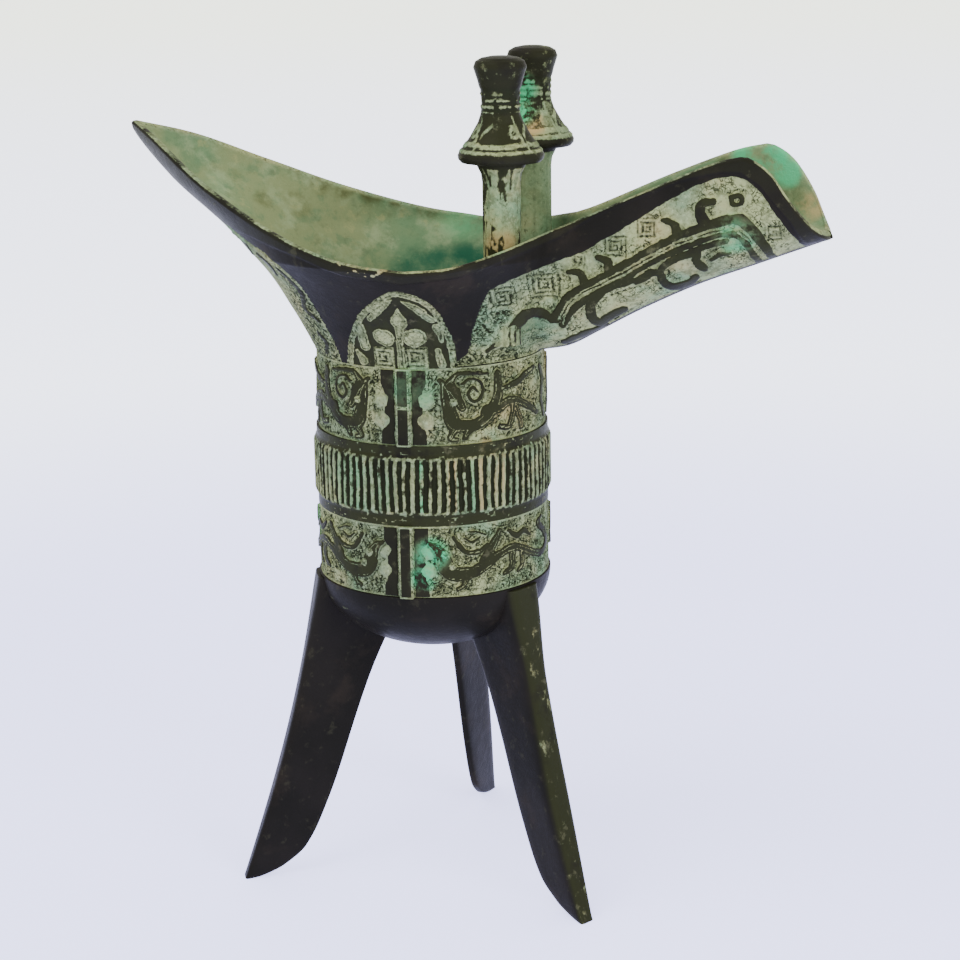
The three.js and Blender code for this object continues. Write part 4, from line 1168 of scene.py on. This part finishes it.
# %% Posts
POST_AHEAD = 23.7
POST_ASIDE = 17
POST_PROFILE = [
    (4.7, 148.3), (4.7, 188.4), (5, 190.6), (6.3, 193.2), (9.8, 193.5), (10.5, 194.3), (10.6, 195.2),
    (10.2, 196.3), (9.6, 197), (7.7, 199.7), (5.8, 203), (4.9, 205.6), (4.8, 207.4), (4.9, 210.4),
    (5.5, 213), (6.2, 215.2), (6.5, 216.2), (6, 217.6), (4.6, 218.4), (2.5, 218.8),
]
SCROLLS = [
    ([[20, 202.5], [31, 201.9], [38, 199.9], [35, 198.3], [12, 197.9], [-20, 197.7], [-42, 198.1],
      [-46, 199.5], [-34, 201.5], [-23, 202.6]], [0.9, 1.3, 1.2, 0.9]),
    ([[46, 196.6], [37, 200.4], [30, 204.6]], [1, 0.8]),
    ([[-50, 196.5], [-20, 196.4], [20, 196.4], [50, 196.5]], [0.8, 0.8]),
]
CURL = (25, 200.9)
SHAFT_TOP = 192.8
SKIRT_FROM, SKIRT_TO = 195.4, 205.8
WAIST_FROM, WAIST_TO = 205, 211.6
RING_PITCH = 1.55  # from one ring on the waist to the next
TURN_MM = math.radians(8)  # millimetres to a degree round a post, on the flat map of its skirt
FACING = 74  # degrees from the cup's length to the camera, where a post's pattern is centred


def post_outline():
    places = []
    for (r0, z0), (r1, z1) in zip(POST_PROFILE, POST_PROFILE[1:]):
        steps = max(2, int(math.hypot(r1 - r0, z1 - z0) / 0.45))
        places += [(mix(r0, r1, i / steps), mix(z0, z1, i / steps)) for i in range(steps)]
    return [(0, POST_PROFILE[0][1])] + places + [POST_PROFILE[-1], (0, POST_PROFILE[-1][1])]


def shape_post(side, worn):
    """worn is the share of dark streaks on the shaft."""

    def shape(points, mesh):
        x, y, z = points.T
        dx, dy = x - POST_AHEAD, y - side * POST_ASIDE
        radius = np.hypot(dx, dy)
        turn = np.degrees(np.arctan2(dy, dx)) + FACING
        quarter = (turn + 45) % 90 - 45
        around, above = hand_drawn(quarter * TURN_MM, z, 0.1)
        skirt = smooth(z, SKIRT_FROM, SKIRT_FROM + 0.8) * smooth(SKIRT_TO - z, 0, 1)
        flat = [([[a * TURN_MM, b] for a, b in line], widths) for line, widths in SCROLLS]
        curl = np.hypot(around - CURL[0] * TURN_MM, above - CURL[1])
        ring = np.maximum(smooth(0.55 - np.abs(curl - 1.1), -0.1, 0.2), smooth(0.3 - curl, 0, 0.2))
        lines = np.maximum(smooth(deepest(around, above, flat), -0.1, 0.2), ring)
        neck = smooth(z, WAIST_FROM, WAIST_FROM + 0.8) * smooth(WAIST_TO - z, 0, 0.6)
        rings = 0.5 + 0.5 * np.cos(2 * math.pi * (above - WAIST_FROM - 0.4) / RING_PITCH)
        nicks = smooth(noise_map(turn / 9, z / 1.6, 15), -0.2, 0.4)
        shaft = smooth(SHAFT_TOP - z, 0, 1)
        streaks = noise_map(turn / 22, z / 9, 16) + 0.7 * noise_map(turn / 9, z / 3.5, 17)
        streaks = smooth(streaks + 0.5 * noise_map(turn / 5, z / 1.2, 20), 0, 0.7) * worn * shaft
        flute = smooth(np.abs(((turn % 45) - 22.5) / 22.5), 0.75, 1)
        grow = 0.25 * skirt * (lines - 1) + 0.3 * neck * (rings * nicks - 0.6) - 0.12 * shaft * flute
        scale = np.where(radius > 0.5, (radius + grow) / np.maximum(radius, 0.5), 1)
        rim_edge = smooth(0.3 - np.abs(z - 195.6), 0, 0.25) * smooth(radius, 10, 10.4)
        pale = shaft * (0.66 - 0.34 * streaks) + skirt * (0.26 + 0.34 * lines) * (1 - neck)
        pale = np.maximum(pale + neck * (0.16 + 0.6 * rings * nicks), 0.45 * rim_edge)
        cap = smooth(z, WAIST_TO, WAIST_TO + 0.6)
        pale = pale + cap * (0.27 + 0.12 * smooth(noise_map(turn / 16, z / 1.2, 18), 0, 0.8))
        pale = pale + 0.2 * (1 - worn) * (neck + skirt)
        line = neck * (1 - rings * nicks) * 0.7 + shaft * 0.2 * flute
        olive = 0.5 + 0.45 * shaft + 0.25 * skirt
        known = {"pale": pale, "line": line, "olive": olive, "inside": 0.6 * shaft * (1 - worn)}
        return np.stack([POST_AHEAD + dx * scale, side * POST_ASIDE + dy * scale, z], -1), known

    return shape


for name, side, worn in (("post_near", -1, 1), ("post_far", 1, 0.15)):
    post_bm = spun(post_outline(), 96, POST_AHEAD, side * POST_ASIDE, closed=False)
    make_piece(name, post_bm, BRONZE, shape_post(side, worn))

# %% [markdown]
# ## Handle
# The strap handle is on the far side, over the back leg, with a small animal's head where it leaves the body.

# %% Handle
HANDLE_WIDTH = 9
HANDLE_THICKNESS = 5
FINGER_GAP = 14
HANDLE_BELOW = 6
HANDLE_BEND = 9
HANDLE_STATIONS = (0, 0.15, 0.3, 0.7, 0.85, 1)  # shares of the strap where its line turns
HEAD_OUT = BODY_RADIUS + FINGER_GAP + HANDLE_THICKNESS / 2 - 0.8 * HANDLE_BEND
HEAD_PARTS = (  # middle and half sizes of the animal's head and its two ears
    ((0, HEAD_OUT, NECK_Z - 5.5), (6.2, 7.2, 4.6)),
    ((-3.8, HEAD_OUT - 3.5, NECK_Z - 1.6), (2.2, 2.8, 2.6)),
    ((3.8, HEAD_OUT - 3.5, NECK_Z - 1.6), (2.2, 2.8, 2.6)),
)


def handle_line(share):
    """Places down the middle of the strap: out, round, down, round and back in."""
    outer = BODY_RADIUS + FINGER_GAP + HANDLE_THICKNESS / 2
    top, bottom = NECK_Z - 7, LEG_LENGTH + HANDLE_BELOW
    root = BODY_RADIUS - 1.2
    turned = outer - HANDLE_BEND
    y = np.interp(share, HANDLE_STATIONS, [root, turned, outer, outer, turned, root])
    z = np.interp(share, HANDLE_STATIONS, [top, top, top - HANDLE_BEND, bottom + HANDLE_BEND, bottom, bottom])
    return y, z


def handle_points(turns, along):
    """The strap's line with its corners rounded off, and a soft oblong drawn down it."""
    shares = np.linspace(0, 1, 400)
    window = np.hanning(61) / np.hanning(61).sum()
    padded = [np.pad(line, 30, mode="reflect", reflect_type="odd") for line in handle_line(shares)]
    y, z = [np.convolve(line, window, "valid") for line in padded]
    dy, dz = np.gradient(y), np.gradient(z)
    size = np.hypot(dy, dz)
    y, z, out, down = [np.interp(along, shares, values) for values in (y, z, dz / size, dy / size)]
    wide, thick = rounded_box(2 * np.pi * turns, 3.2)
    off = HANDLE_THICKNESS / 2 * thick
    return np.stack([HANDLE_WIDTH / 2 * wide, y - off * out, z + off * down], -1)


def handle_mesh():
    bm = tube(40, 90, handle_points)
    for middle, half_sizes in HEAD_PARTS:
        place = Matrix.Translation(middle) @ Matrix.Diagonal((*half_sizes, 1))
        bmesh.ops.create_uvsphere(bm, u_segments=32, v_segments=20, radius=1, matrix=place)
    return bm


make_piece("handle", handle_mesh(), BRONZE, plain)

# %% [markdown]
# ## Floor, light and camera
# The cup stands on a plain pale floor under soft light from all round, as in the photograph.

# %% Floor
# The floor gives off its own colour as a painted glow, which brightens it and lights the cup from below.
FLOOR_GLOW = 2.3
FLOOR_HALF = 20  # metres


def floor_finish():
    """Painted light: cool and pale near the cup, lighter and warmer far behind it, and given off as a glow.
    """
    f = Finish("floor_paper")
    away = f.add("ShaderNodeVectorMath", {"operation": "LENGTH"}, {0: f.place}, "Value")
    colour = f.blend(f.step(away, 0.25, 0.7), tone(194, 197, 243), tone(224, 229, 250))
    colour = f.blend(f.step(away, 0.8, 4), colour, tone(228, 233, 224))
    f.plug(f.shader.inputs["Base Color"], colour)
    f.plug(f.shader.inputs["Emission Color"], colour)
    f.plug(f.shader.inputs["Emission Strength"], FLOOR_GLOW)
    f.plug(f.shader.inputs["Roughness"], 0.7)
    return f.material


floor_bm = bmesh.new()
bmesh.ops.create_grid(floor_bm, x_segments=1, y_segments=1, size=FLOOR_HALF)
floor_mesh = bpy.data.meshes.new("floor")
floor_bm.to_mesh(floor_mesh)
floor_bm.free()
floor_mesh.materials.append(floor_finish())
floor = bpy.data.objects.new("floor", floor_mesh)
bpy.context.scene.collection.objects.link(floor)

# %% Light
ROOM_COLOUR = (1.0, 0.98, 0.92)
ROOM_LIGHT = 1.55
world = bpy.data.worlds.new("studio")
world.use_nodes = True
background = world.node_tree.nodes["Background"].inputs
background["Color"].default_value = (*ROOM_COLOUR, 1)
background["Strength"].default_value = ROOM_LIGHT
bpy.context.scene.world = world


def soft_light(name, place, size, power, aim):
    lamp = bpy.data.lights.new(name, "AREA")
    lamp.shape, lamp.size, lamp.energy = "DISK", size, power
    lit = bpy.data.objects.new(name, lamp)
    lit.location = place
    lit.rotation_euler = (Vector(aim) - Vector(place)).to_track_quat("-Z", "Y").to_euler()
    bpy.context.scene.collection.objects.link(lit)


soft_light("sky_panel", (-0.5, -0.5, 1.4), 1.0, 17, (0, 0, 0.1))
soft_light("side_panel", (1.1, -0.8, 0.7), 0.7, 13, (0, 0, 0.12))

# %% Camera
PHOTO_WIDTH = 960  # pixels
FOCAL = 2302.4385  # pixels of the photograph
SENSOR = 36
DISTANCE = 601.03
AZIMUTH, ELEVATION = 0.27737, 0.23303
YAW, PITCH, ROLL = -0.02093, 0.02619, -0.01587
AIM_Z = 123.5  # height on the body's axis that the camera stands round


def outward(azimuth, elevation):
    flat = math.cos(elevation)
    return Vector((math.sin(azimuth) * flat, -math.cos(azimuth) * flat, math.sin(elevation)))


back = outward(AZIMUTH + YAW, ELEVATION + PITCH)
level = Vector((math.cos(AZIMUTH + YAW), math.sin(AZIMUTH + YAW), 0))
upward = back.cross(level)
right = math.cos(ROLL) * level + math.sin(ROLL) * upward
top = math.cos(ROLL) * upward - math.sin(ROLL) * level
camera = bpy.data.objects.new("camera", bpy.data.cameras.new("camera"))
camera.data.sensor_width = SENSOR
camera.data.lens = FOCAL / PHOTO_WIDTH * SENSOR
camera.rotation_mode = "QUATERNION"
camera.rotation_quaternion = Matrix((right, top, back)).transposed().to_quaternion()
stand = outward(AZIMUTH, ELEVATION) * DISTANCE
camera.location = ((stand.x - AXIS[0]) * MM, (stand.y - AXIS[1]) * MM, (stand.z + AIM_Z) * MM)
bpy.context.scene.collection.objects.link(camera)
bpy.context.scene.camera = camera
